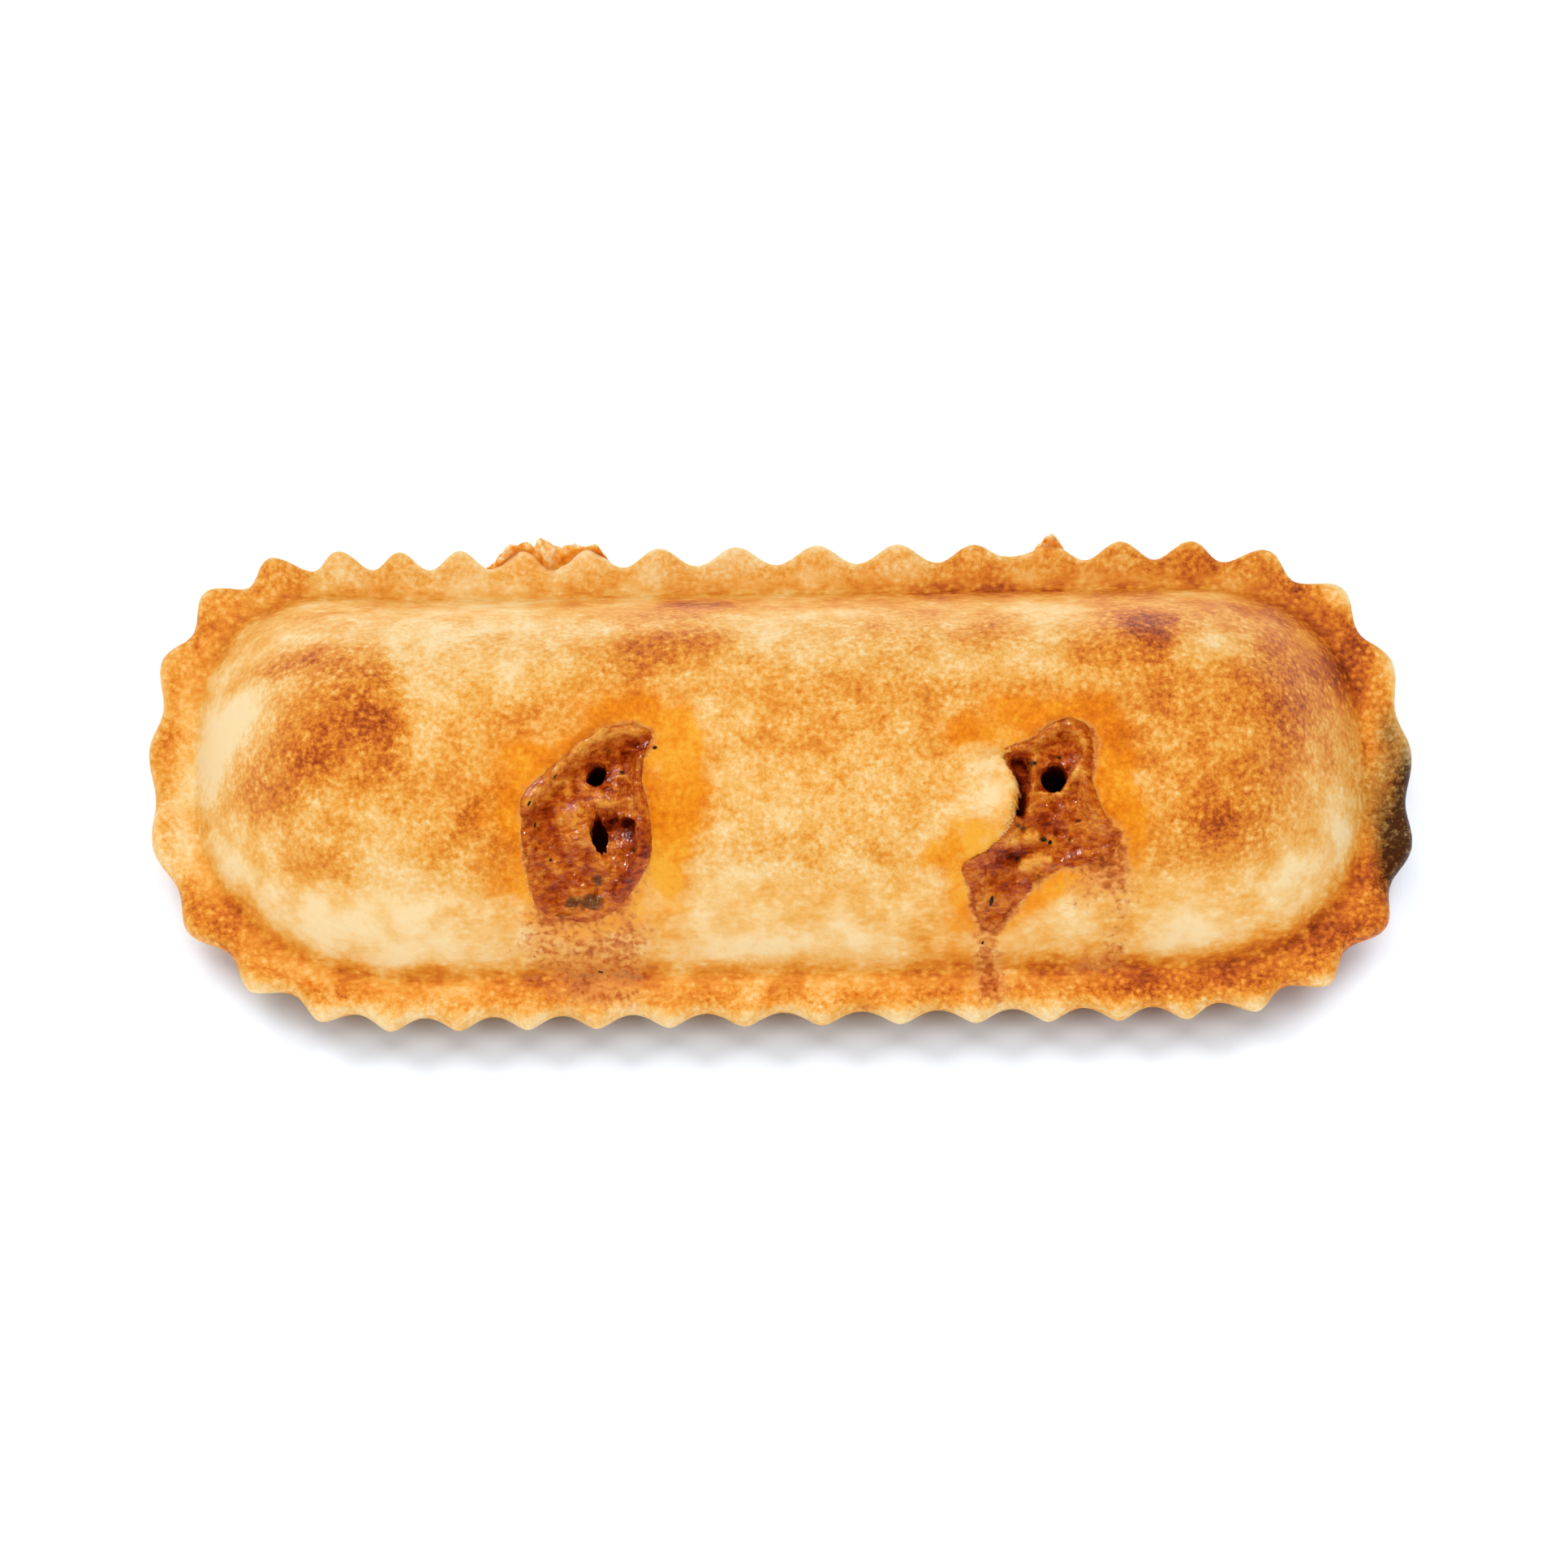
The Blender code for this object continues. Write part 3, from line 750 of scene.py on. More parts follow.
        # The dried sauce is a thin, shiny film full of meat fibres, with a ragged edge.
        weave = {"Scale": 1.0 / (self.fibre * MM), "Detail": 8.0, "Distortion": 0.35}
        fibres = add_node(tree, "ShaderNodeTexNoise", {}, {"Vector": place, **weave})
        spread = {0: fibres, 1: self.fray, 2: -0.5 * self.fray}
        frayed = add_node(tree, "ShaderNodeMath", add, spread)
        torn = add_node(tree, "ShaderNodeMath", {}, {0: film, 1: frayed})
        span = {"Value": torn, "From Min": 0.2, "From Max": 0.95, "To Max": 0.92}
        coated = add_node(tree, "ShaderNodeMapRange", {"interpolation_type": "SMOOTHSTEP"}, span)
        depth = add_node(tree, "ShaderNodeMath", add, {0: film, 1: 0.5, 2: -0.1})
        tint = add_node(tree, "ShaderNodeMath", {}, {0: depth, 1: frayed})
        sauce = add_node(tree, "ShaderNodeValToRGB", {}, {"Fac": tint})
        colour_ramp(sauce, self.dried_sauce)
        colour = add_node(tree, "ShaderNodeMix", rgba, {0: coated, 6: colour, 7: sauce})

        streaky = add_node(tree, "ShaderNodeMath", {"operation": "MULTIPLY"}, {0: char, 1: centred})
        spread = {0: streaky, 1: self.scorch_streak, 2: char}
        scorch = add_node(tree, "ShaderNodeMath", add, spread)
        span = {"Value": scorch, "From Min": 0.05, "From Max": 0.95, "To Max": 0.97}
        burnt = add_node(tree, "ShaderNodeMapRange", {}, span)
        black = linear(self.charred)
        colour = add_node(tree, "ShaderNodeMix", rgba, {0: burnt, 6: colour, 7: black})
        tree.links.new(colour.outputs[2], shader.inputs["Base Color"])

        oily = {0: oiled, 1: -self.oil_gloss, 2: self.roughness}
        dull = add_node(tree, "ShaderNodeMath", add, oily)
        gloss = add_node(tree, "ShaderNodeMath", add, {0: coated, 1: -self.sauce_gloss, 2: dull})
        tree.links.new(gloss.outputs[0], shader.inputs["Roughness"])
        set_inputs(shader, {
            "IOR": FOOD_IOR,
            "Specular IOR Level": 0.22,
            "Subsurface Weight": 0.1,
            "Subsurface Radius": (3.0 * MM, 1.4 * MM, 0.6 * MM),
            "Subsurface Scale": 0.5,
        })
        ripple = add_node(tree, "ShaderNodeMath", add, {0: fibres, 1: coated, 2: texture})
        relief = add_node(tree, "ShaderNodeMath", add, {0: granules, 1: -0.5, 2: ripple})
        bump = {"Strength": 0.7, "Distance": self.relief * MM, "Height": relief}
        bumped = add_node(tree, "ShaderNodeBump", {}, bump)
        tree.links.new(bumped.outputs[0], shader.inputs["Normal"])
        return material


@dataclass
class Crust:
    """Both sheets of dough as one shell, with its fluted rim and its torn vents.

    Each pair says where something starts and where it is full. The flap's are in y at its front
    and its back, in x at its right, and in distance from the torn edge. A pair that ends in
    _share is in shares of the way from the long axis to the crease of the rim.
    """

    lid: Lid = field(default_factory=Lid)
    finish: BakedDough = field(default_factory=BakedDough)
    samples_per_flute: int = 20
    lid_rings: int = 58
    rim_flare: float = 0.5 * MM
    flute_lift: float = 0.35 * MM
    trough: float = 1.6 * MM
    trough_middle: float = 0.7 * MM
    trough_dip: float = 0.12 * MM
    slope_shares: tuple[float, ...] = (0.3, 0.55, 0.8)
    edge_round: float = 1.3 * MM
    edge_bluntness: float = 0.8
    edge_steps: int = 8
    other_steps: int = 10
    under_inset: float = 0.7
    base_inset: float = 11.0 * MM
    base_middle: float = 0.55
    base_wander: Lumps = Lumps(0.7 * MM, 9.0 * MM)
    base_flute: float = 0.35 * MM
    gap: float = 0.35 * MM
    upper_from: float = 4.0 * MM
    refined_within: float = -1.4 * MM
    refined_beyond: float = 2.4 * MM
    skin: tuple[Lumps, ...] = (Lumps(0.2 * MM, 6.0 * MM, 3), Lumps(0.09 * MM, 1.8 * MM, 3, 7.0))
    torn: Lumps = Lumps(0.3 * MM, 2.2 * MM, 3, 3.0)
    edge_draw: float = 0.36 * MM
    probe: float = 0.1 * MM
    vent_depth: float = 5.5 * MM
    vent_lip: float = 0.12 * MM
    vent_wall: float = 0.8 * MM
    flap_front: Pair = (-17.0 * MM, -11.5 * MM)
    flap_back: Pair = (-3.0 * MM, -5.0 * MM)
    flap_right: Pair = (33.0 * MM, 31.0 * MM)
    flap_reach: Pair = (4.5 * MM, 0.2 * MM)
    flap_wall: Pair = (-0.9 * MM, -0.1 * MM)
    flap_raise: float = 1.6 * MM
    flap_curl: float = 0.35 * MM
    bumps: Marks = (
        Spot(35.4, -22.0, 4.0, 3.2, 0.8 * MM),
        Spot(-46.0, -11.0, 9.0, 5.0, -0.4 * MM),
        Strand(((-50.0, 17.0), (-30.0, 20.0), (-8.0, 21.0)), 3.0, 0.5 * MM),
        Strand(((-46.0, 3.0), (-38.0, 9.0), (-26.0, 13.0)), 4.0, 0.5 * MM),
        Strand(((-79.0, -8.0), (-70.0, -15.0), (-58.0, -21.0)), 3.0, 0.4 * MM),
    )
    browning_and_painted_light: Marks = (
        # The big blister at the left end, with its pale side and a painted highlight on it.
        Spot(-57.0, 2.5, 5.5, 7.5, 0.26),
        Spot(-51.5, 0.5, 3.0, 8.0, 0.26),
        Spot(-62.5, -2.5, 6.0, 6.0, 0.22),
        Spot(-61.6, -4.4, 3.0, 2.4, 0.06),
        Spot(-68.0, -5.0, 10.0, 4.0, 0.26),
        Spot(-63.0, 11.5, 8.0, 3.0, 0.24),
        Spot(-52.0, 8.0, 3.6, 3.0, 0.14),
        # Painted highlight: this spot lightens the blister's upper left, where the key lamp shines
        # on it.
        Spot(-71.2, 7.0, 3.4, 3.2, -0.42),
        Spot(-75.0, 3.5, 3.0, 4.0, -0.36),
        Spot(-66.0, 14.5, 6.0, 1.8, -0.10),
        Spot(-57.5, 3.0, 2.0, 1.8, -0.14),
        # Its neighbours below, and the bay between them.
        Spot(-61.0, -16.5, 5.0, 3.4, 0.20),
        Spot(-42.0, -10.5, 6.0, 6.0, 0.20),
        Spot(-36.5, -14.5, 3.0, 6.0, 0.12),
        Spot(-30.0, 1.5, 8.0, 4.0, 0.14),
        # The blisters along the back, and the browned skin round the right vent.
        Spot(-11.0, 22.3, 7.0, 3.2, 0.44),
        Spot(-12.5, 12.5, 5.5, 3.5, 0.32),
        Spot(-8.5, 14.0, 3.5, 3.0, 0.16),
        Spot(-21.0, 10.0, 6.0, 4.5, 0.20),
        Spot(8.0, 23.5, 12.0, 2.2, 0.16),
        Spot(29.0, 26.3, 10.0, 2.4, 0.36),
        Spot(27.5, 15.5, 3.5, 3.0, 0.26),
        Spot(12.0, 3.0, 8.0, 6.0, 0.10),
        Spot(24.0, 5.0, 7.0, 4.0, 0.12),
        Spot(29.0, -0.8, 2.5, 2.0, 0.12),
        Spot(47.3, 16.5, 5.5, 4.0, 0.52),
        Spot(50.5, 13.5, 3.0, 3.5, 0.26),
        Spot(47.0, 24.5, 7.0, 3.0, 0.30),
        Spot(41.0, 9.5, 4.5, 3.0, 0.24),
        Spot(48.0, 5.0, 4.5, 6.0, 0.16),
        Spot(51.4, -15.5, 3.0, 2.6, 0.16),
        # The right end.
        Spot(69.0, 21.0, 10.0, 4.0, 0.30),
        Spot(74.5, 12.5, 4.5, 5.5, 0.34),
        Spot(67.5, 4.0, 6.0, 7.0, 0.32),
        Spot(66.0, 13.0, 3.6, 5.0, 0.14),
        Spot(57.0, -13.5, 6.0, 3.6, 0.34),
        Spot(61.0, -6.5, 7.0, 6.0, 0.22),
        Spot(58.0, 0.0, 16.0, 18.0, 0.08),
        # The rim, darkest at the corners.
        Spot(-69.0, 30.0, 6.0, 4.0, 0.20),
        Spot(-77.0, 21.5, 4.0, 5.0, 0.18),
        Spot(-83.2, 6.0, 2.4, 3.4, 0.22),
        Spot(-83.5, -8.0, 2.4, 2.6, 0.14),
        Spot(-80.0, -14.0, 3.0, 3.0, 0.24),
        Spot(-75.0, -19.5, 4.5, 4.0, 0.28),
        Spot(-68.5, -24.5, 5.0, 2.6, 0.18),
        Spot(-59.5, -28.5, 6.0, 2.2, 0.36),
        Spot(-31.0, -29.2, 8.0, 2.2, 0.34),
        Spot(-13.0, -30.0, 10.0, 2.0, 0.06),
        Spot(16.0, -31.0, 10.0, 1.8, 0.16),
        Spot(43.0, -29.5, 12.0, 2.2, 0.30),
        Spot(60.0, -29.0, 8.0, 2.6, 0.30),
        Spot(71.5, -24.5, 6.0, 4.0, 0.34),
        Spot(78.5, -18.5, 5.0, 6.0, 0.40),
        Spot(79.0, 16.0, 3.0, 6.0, 0.20),
        Spot(71.0, 27.0, 4.0, 3.0, 0.30),
        Spot(60.0, 31.0, 10.0, 3.0, 0.22),
        Spot(40.0, 31.0, 14.0, 3.0, 0.14),
        # Pale places on the rim.
        Spot(-45.0, 30.5, 18.0, 3.0, -0.08),
        Spot(-17.3, 27.5, 3.0, 4.0, -0.24),
        Spot(33.8, 28.5, 3.0, 2.5, -0.20),
        Spot(42.8, 28.5, 2.6, 3.0, -0.14),
        Spot(75.0, 25.5, 2.6, 3.0, -0.14),
        Spot(-42.0, -29.5, 5.0, 2.0, -0.16),
        # Pale places along the front slope, where the skin was stretched; they are also painted
        # lighter to make up for the shade on the front slope.
        Strand(((-76.0, -13.0), (-67.0, -20.0), (-55.0, -27.0)), 4.0, -0.13),
        Spot(-62.0, -20.0, 10.0, 2.6, -0.14),
        Spot(-46.0, -23.0, 12.0, 3.8, -0.28),
        Spot(-44.0, -17.0, 8.0, 3.6, -0.10),
        Spot(-42.0, -26.5, 7.0, 2.4, -0.18),
        Spot(-13.0, -26.0, 5.0, 2.4, -0.16),
        Spot(-2.0, -20.0, 22.0, 6.0, -0.14),
        Spot(3.0, -26.0, 16.0, 2.6, -0.30),
        Spot(30.0, -26.5, 5.0, 3.0, -0.24),
        Spot(35.4, -22.5, 4.0, 2.4, -0.14),
        Spot(51.5, -23.5, 8.0, 3.6, -0.20),
        Spot(50.0, -26.0, 6.0, 2.4, -0.20),
        Spot(68.0, -17.5, 9.0, 4.0, -0.26),
        Spot(68.0, -21.5, 4.0, 2.5, -0.18),
        # Pale places at both ends.
        Spot(-74.3, -11.5, 4.0, 4.0, -0.26),
        Spot(-78.5, -2.0, 3.4, 5.0, -0.26),
        Spot(-77.0, 12.0, 4.0, 5.0, -0.16),
        Spot(74.0, -12.5, 3.2, 5.0, -0.28),
        # Pale places on top, and the clean flap of dough.
        Spot(-56.7, 16.0, 8.0, 2.6, -0.12),
        Spot(-52.0, -14.0, 3.4, 6.0, -0.12),
        Spot(-47.0, 10.0, 5.0, 6.0, -0.08),
        Spot(-36.0, 15.5, 12.0, 4.5, -0.20),
        Spot(-33.0, 8.5, 8.0, 3.6, -0.20),
        Spot(-37.0, 3.0, 4.0, 3.0, -0.12),
        Spot(4.0, 16.5, 16.0, 4.0, -0.12),
        Spot(2.0, -8.0, 14.0, 8.0, -0.06),
        Spot(24.5, 8.7, 6.0, 2.4, -0.16),
        Spot(26.8, -9.5, 3.2, 6.0, -0.30),
        Spot(24.5, -14.5, 2.6, 2.2, -0.14),
        Spot(36.0, 17.0, 5.0, 3.6, -0.20),
        Spot(37.0, 7.5, 2.6, 3.0, -0.20),
        Spot(47.0, -10.6, 3.0, 4.0, -0.14),
        Spot(57.5, 11.5, 4.0, 4.5, -0.22),
        Spot(55.5, 24.0, 3.0, 3.0, -0.10),
        Spot(60.0, -4.0, 4.5, 3.0, -0.20),
    )
    oil: Marks = (
        Spot(-12.8, -2.0, 3.4, 5.0, 0.90),
        Spot(-12.4, -9.5, 3.6, 5.0, 0.80),
        Spot(-14.5, -17.0, 2.6, 5.0, 0.80),
        Spot(-20.0, 3.4, 7.0, 2.8, 0.70),
        Spot(-33.5, -2.5, 4.6, 3.2, 0.66),
        Spot(-37.5, -9.0, 4.0, 6.0, 0.45),
        Spot(-37.5, -18.5, 4.0, 3.0, 0.42),
        Spot(-22.0, -22.0, 8.0, 1.8, 0.40),
        Spot(24.0, -1.0, 4.0, 2.6, 0.75),
        Spot(31.0, 2.6, 6.0, 2.8, 0.85),
        Spot(41.5, 1.2, 3.4, 4.0, 0.80),
        Spot(44.2, -6.0, 2.8, 5.0, 0.85),
        Spot(46.0, -14.0, 3.0, 4.5, 0.66),
        Spot(20.5, -16.0, 4.0, 2.2, 0.75),
        Spot(22.5, -10.5, 2.0, 4.0, 0.40),
        Spot(25.8, -13.8, 2.6, 2.2, 0.60),
        Spot(35.0, -19.4, 4.0, 2.4, 0.55),
        Spot(22.5, -23.0, 2.0, 5.0, 0.45),
        Strand(((-66.0, -27.5), (-55.0, -29.5), (-30.0, -30.3)), 1.4, 0.34),
        Strand(((-5.0, -30.8), (40.0, -30.2), (58.0, -29.0)), 1.2, 0.30),
        Strand(((-40.0, 24.5), (10.0, 24.5)), 1.4, 0.25),
    )
    soaked_rim: float = 0.8
    soaked_reach: float = 2.6
    drift: Lumps = Lumps(1.0, 9.0 * MM, 3, 11.0)
    ragged_film: Lumps = Lumps(0.5, 3.0 * MM, 2, 5.0)
    usual_bake: float = 0.29
    drift_bake: float = 0.14
    rim_bake: float = 0.06
    crease_shade: float = 0.14
    front_crease_shade: float = 0.22
    fold_reach: float = 1.4 * MM
    flute_shade: float = 0.05
    cut_bake: float = 0.2
    base_bake: float = 0.62
    base_drift: float = 0.1
    base_height: float = 2.0 * MM
    sauce: Marks = (
        Spot(-26.5, -25.0, 8.0, 4.6, 0.62),
        Spot(-19.8, -24.0, 2.6, 6.0, 0.42),
        Spot(-24.5, -30.4, 6.0, 1.6, 0.62),
        Spot(-32.0, -22.5, 3.0, 3.4, 0.42),
        Strand(((25.4, -17.6), (26.0, -21.5), (26.8, -25.5)), 1.7, 0.82),
        Spot(27.3, -29.2, 2.0, 2.8, 1.5),
        Spot(41.0, -16.8, 2.6, 2.4, 0.55),
        Spot(43.6, -17.4, 2.4, 2.8, 0.55),
        Strand(((42.0, -15.5), (44.2, -20.0), (43.6, -25.5)), 2.0, 0.50),
        Spot(40.6, -26.6, 3.6, 1.5, 0.60),
        Spot(39.0, -19.5, 2.6, 2.6, 0.40),
        Spot(40.8, -3.4, 1.2, 2.4, 0.50),
        Spot(-23.0, -25.0, 3.5, 3.0, 0.30),
    )
    sauced_rim: float = 1.5
    sauced_reach: float = 0.85
    rim_share: Pair = (0.97, 1.07)
    crest_share: Pair = (1.04, 1.16)
    steep_share: Pair = (0.6, 0.9)
    flatter_share: Pair = (1.12, 1.0)
    front_fold: Pair = (0.0, -20.0 * MM)
    cut_edge: Pair = (2.0 * MM, 0.3 * MM)
    least_cut: float = 0.25
    cut_hidden: float = 1.4
    most_soaked: float = 1.1
    most_film: float = 1.6
    cleanness: float = 0.95
    clean_flap: Marks = (
        Strand(((28.2, -4.6), (29.8, -7.8), (29.2, -11.8), (26.4, -14.8), (23.4, -16.6)), 2.2, 1.0),
    )
    charring: Marks = (
        Spot(84.0, -1.5, 2.6, 5.0, 0.95),
        Spot(83.0, -9.5, 2.6, 4.6, 1.10),
        Spot(79.8, -5.0, 1.9, 6.0, 0.45),
        Spot(81.2, -14.5, 2.0, 4.6, 0.95),
        Spot(82.0, 5.5, 1.6, 3.6, 0.50),
    )

    def build(self) -> bpy.types.Object:
        """Makes the crust, opens its vents and paints it."""
        builder = self._skin()
        self._refine_vents(builder)
        move_vertices(builder, self._relief(vertex_places(builder)))
        crust = to_object("crust_shell", builder)
        carve(crust, Room(self.lid).build("room", self.gap), Carve.CUT)
        self._paint(crust)
        install(crust, Slot.CRUST, self.finish.material(), "crust")
        return crust

    def _skin(self) -> bmesh.types.BMesh:
        """Moulds the outer surface from a sphere: lid, rim, underside and flat base."""
        plan, lid = self.lid.plan, self.lid
        # The lid's rings, one for each place of _rim_path, and the middle of the base.
        rings = self.lid_rings + self.edge_steps + self.other_steps
        builder, ring, segment = moulded_sphere(plan.flutes * self.samples_per_flute, rings)
        flute = segment / self.samples_per_flute
        foot, bearing = plan.foot_and_bearing(plan.turn_of(flute))
        radii, heights = self._rim_path(foot, bearing, flute)
        step = np.clip(ring - self.lid_rings, 0, len(radii) - 1)
        pick = np.arange(len(ring))
        radius, z = radii[step, pick], heights[step, pick]
        shrink = np.where(ring >= rings, 0.0, np.clip(ring / self.lid_rings, 0.0, 1.0))
        x = (foot + radius * np.sin(bearing)) * shrink
        y = radius * np.cos(bearing) * shrink
        raised = lid.height(in_plan(x, y))
        z = np.where(ring < self.lid_rings, raised, np.where(ring >= rings, 0.0, z))
        move_vertices(builder, np.stack((x, y, z), axis=1))
        return builder

    def _rim_path(self, foot: Array, bearing: Array, flute: Array) -> tuple[Array, Array]:
        """The rim's section at each vertex's bearing, from the crease over the edge to the base.

        Args:
            foot: Where each vertex's ray leaves the long axis.
            bearing: Its bearing from +Y.
            flute: Its flute number.

        Returns:
            Radii and heights, one row for each step along the section.
        """
        plan, lid = self.lid.plan, self.lid
        mean, wave, lift = plan.mean_radius(bearing), plan.wave(flute, bearing), plan.lift(bearing)
        edge = mean + plan.depth(bearing) * wave
        crease, crease_z = mean - lid.rim_width, lid.rim_top(bearing)
        top = crease_z + self.rim_flare + self.flute_lift * wave
        under = lid.rim_underside + lift + 0.5 * self.flute_lift * wave
        brow = edge - self.edge_round
        trough = crease + self.trough
        dip = crease + self.trough_middle, crease_z - self.trough_dip
        path = [(crease, crease_z), dip, (trough, crease_z)]
        for share in self.slope_shares:
            path.append((trough + share * (brow - trough), crease_z + share * (top - crease_z)))
        for step in range(self.edge_steps + 1):
            angle = math.pi * step / self.edge_steps
            out = self.edge_round * math.sin(angle) ** self.edge_bluntness
            path.append((brow + out, under + 0.5 * (top - under) * (1.0 + math.cos(angle))))
        path.append((mean - self.under_inset * lid.rim_width, under - 0.5 * lift))
        x, y = foot + plan.side_radius * np.sin(bearing), plan.side_radius * np.cos(bearing)
        wander = self.base_wander.at(in_plan(x, y))
        base = mean - self.base_inset + wander + self.base_flute * wave
        path += [(base, 0.0 * base), (self.base_middle * base, 0.0 * base)]
        return np.stack([radius for radius, _ in path]), np.stack([z for _, z in path])

    def _refine_vents(self, builder: bmesh.types.BMesh) -> None:
        """Divides the faces near the vents, where the torn edges need finer relief."""
        points = vertex_places(builder)
        near = np.zeros(len(points), dtype=bool)
        for vent in VENTS:
            outside = vent.outside(points)
            near |= (outside > self.refined_within) & (outside < self.refined_beyond)
        near &= points[:, 2] > self.upper_from
        edges = [edge for edge in builder.edges if all(near[end.index] for end in edge.verts)]
        bmesh.ops.subdivide_edges(builder, edges=edges, cuts=1, use_grid_fill=True)
        builder.verts.index_update()

    def _relief(self, points: Array) -> Array:
        """Adds the lid's small relief, the torn lips and the pits of the vents.

        Args:
            points: The smooth skin's vertices.

        Returns:
            Their new places.
        """
        points = points.copy()
        distance, bearing = self.lid.plan.polar(points[:, 0], points[:, 1])
        share = distance / (self.lid.plan.mean_radius(bearing) - self.lid.rim_width)
        upper = points[:, 2] > self.upper_from
        lid = upper & (share < 0.999)
        flat = flattened(points)
        level = self.lid.height(flat)
        points[:, 2] += np.where(upper, sum(lumps.at(flat) for lumps in self.skin), 0.0)
        points[:, 2] += np.where(lid, marks_at(self.bumps, points), 0.0)
        ragged = self.torn.at(flat)
        for vent in VENTS:
            outside = vent.outside(points) + ragged
            # Vertices next to the torn edge are drawn on to it, or the edge would be stepped.
            pull = np.where(lid, outside * np.exp(-((outside / self.edge_draw) ** 2)), 0.0)
            for axis in (0, 1):
                ahead = points.copy()
                ahead[:, axis] += self.probe
                slope = (vent.outside(ahead) + ragged - outside) / self.probe
                points[:, axis] -= np.clip(slope, -1.0, 1.0) * pull
            outside = outside - pull
            pit = smooth_step(-self.vent_lip, -self.vent_wall, outside)
            sunk = points[:, 2] + pit * (level - self.vent_depth - points[:, 2])
            points[:, 2] = np.where(lid & (outside < 0.0), sunk, points[:, 2])
        return self._curl_flap(points, lid)

    def _curl_flap(self, points: Array, lid: Array) -> Array:
        """Curls up the torn flap of dough at the left of the right vent.

        Args:
            points: The vertices.
            lid: Which of them belong to the lid.

        Returns:
            Their new places.
        """
        outside = RIGHT_VENT.outside(points)
        x, y, _ = points.T
        along = smooth_step(*self.flap_front, y) * smooth_step(*self.flap_back, y)
        along *= smooth_step(*self.flap_right, x)
        near = smooth_step(*self.flap_reach, outside) * smooth_step(*self.flap_wall, outside)
        weight = np.where(lid, along * near, 0.0)
        points[:, 2] += self.flap_raise * weight**1.5
        points[:, 0] -= self.flap_curl * weight**2
        return points

    def _paint(self, crust: bpy.types.Object) -> None:
        """Stores how browned each vertex is, with painted shade and a painted highlight mixed in,
        and how oily, sauced, charred and stretched it is.
        """
        points = mesh_points(crust)
        plan, lid = self.lid.plan, self.lid
        distance, bearing = plan.polar(points[:, 0], points[:, 1])
        crease = plan.mean_radius(bearing) - lid.rim_width
        share = distance / crease
        flat = flattened(points)
        drift = self.drift.at(flat)
        rim = smooth_step(*self.rim_share, share)
        # Painted shade darkens the crease between the lid and the rim, more along the front.
        painted_crease_shade = np.exp(-(((distance - crease) / self.fold_reach) ** 2))
        at_front = smooth_step(*self.front_fold, points[:, 1])
        painted_crease_shade *= self.crease_shade + self.front_crease_shade * at_front
        bake_and_shading = self.usual_bake + self.drift_bake * drift + self.rim_bake * rim + painted_crease_shade
        bake_and_shading += marks_at(self.browning_and_painted_light, points)
        # Painted shade darkens the valleys between the flutes, and a painted highlight lightens
        # their crests. The cut edge stays lighter, least where it browned.
        wave = plan.wave(plan.flute_at(plan.turn_at(points[:, 0], points[:, 1])), bearing)
        bake_and_shading -= self.flute_shade * wave * smooth_step(*self.crest_share, share)
        to_edge = plan.edge(points[:, 0], points[:, 1]) - distance
        above = points[:, 2] >= self.base_height
        cut = smooth_step(*self.cut_edge, to_edge) * above
        bake_and_shading -= self.cut_bake * cut * np.clip(self.cut_hidden * (1.0 - bake_and_shading), self.least_cut, 1.0)
        bake_and_shading = np.where(above, bake_and_shading, self.base_bake + self.base_drift * drift)
        oil = marks_at(self.oil, points)
        film = marks_at(self.sauce, points)
        ragged = 1.0 + self.ragged_film.at(flat)
        for vent in VENTS:
            away = np.maximum(vent.outside(points), 0.0) / MM
            oil += self.soaked_rim * np.exp(-((away / self.soaked_reach) ** 2))
            film += self.sauced_rim * np.exp(-((away / (self.sauced_reach * ragged)) ** 2))
        # The torn flap curled up out of the sauce, and only some oil got to it.
        clean = 1.0 - self.cleanness * np.clip(marks_at(self.clean_flap, points), 0.0, 1.0)
        film, oil = film * clean, oil * (0.5 + 0.5 * clean)
        steep = smooth_step(*self.steep_share, share) * smooth_step(*self.flatter_share, share)
        set_attribute(crust, "bake_and_shading", bake_and_shading)
        set_attribute(crust, "soak", np.clip(oil * (0.8 + 0.2 * ragged), 0.0, self.most_soaked))
        set_attribute(crust, "film", np.clip(film, 0.0, self.most_film))
        set_attribute(crust, "char", np.clip(marks_at(self.charring, points), 0.0, 1.0))
        set_attribute(crust, "steep", steep * np.abs(np.cos(bearing)))


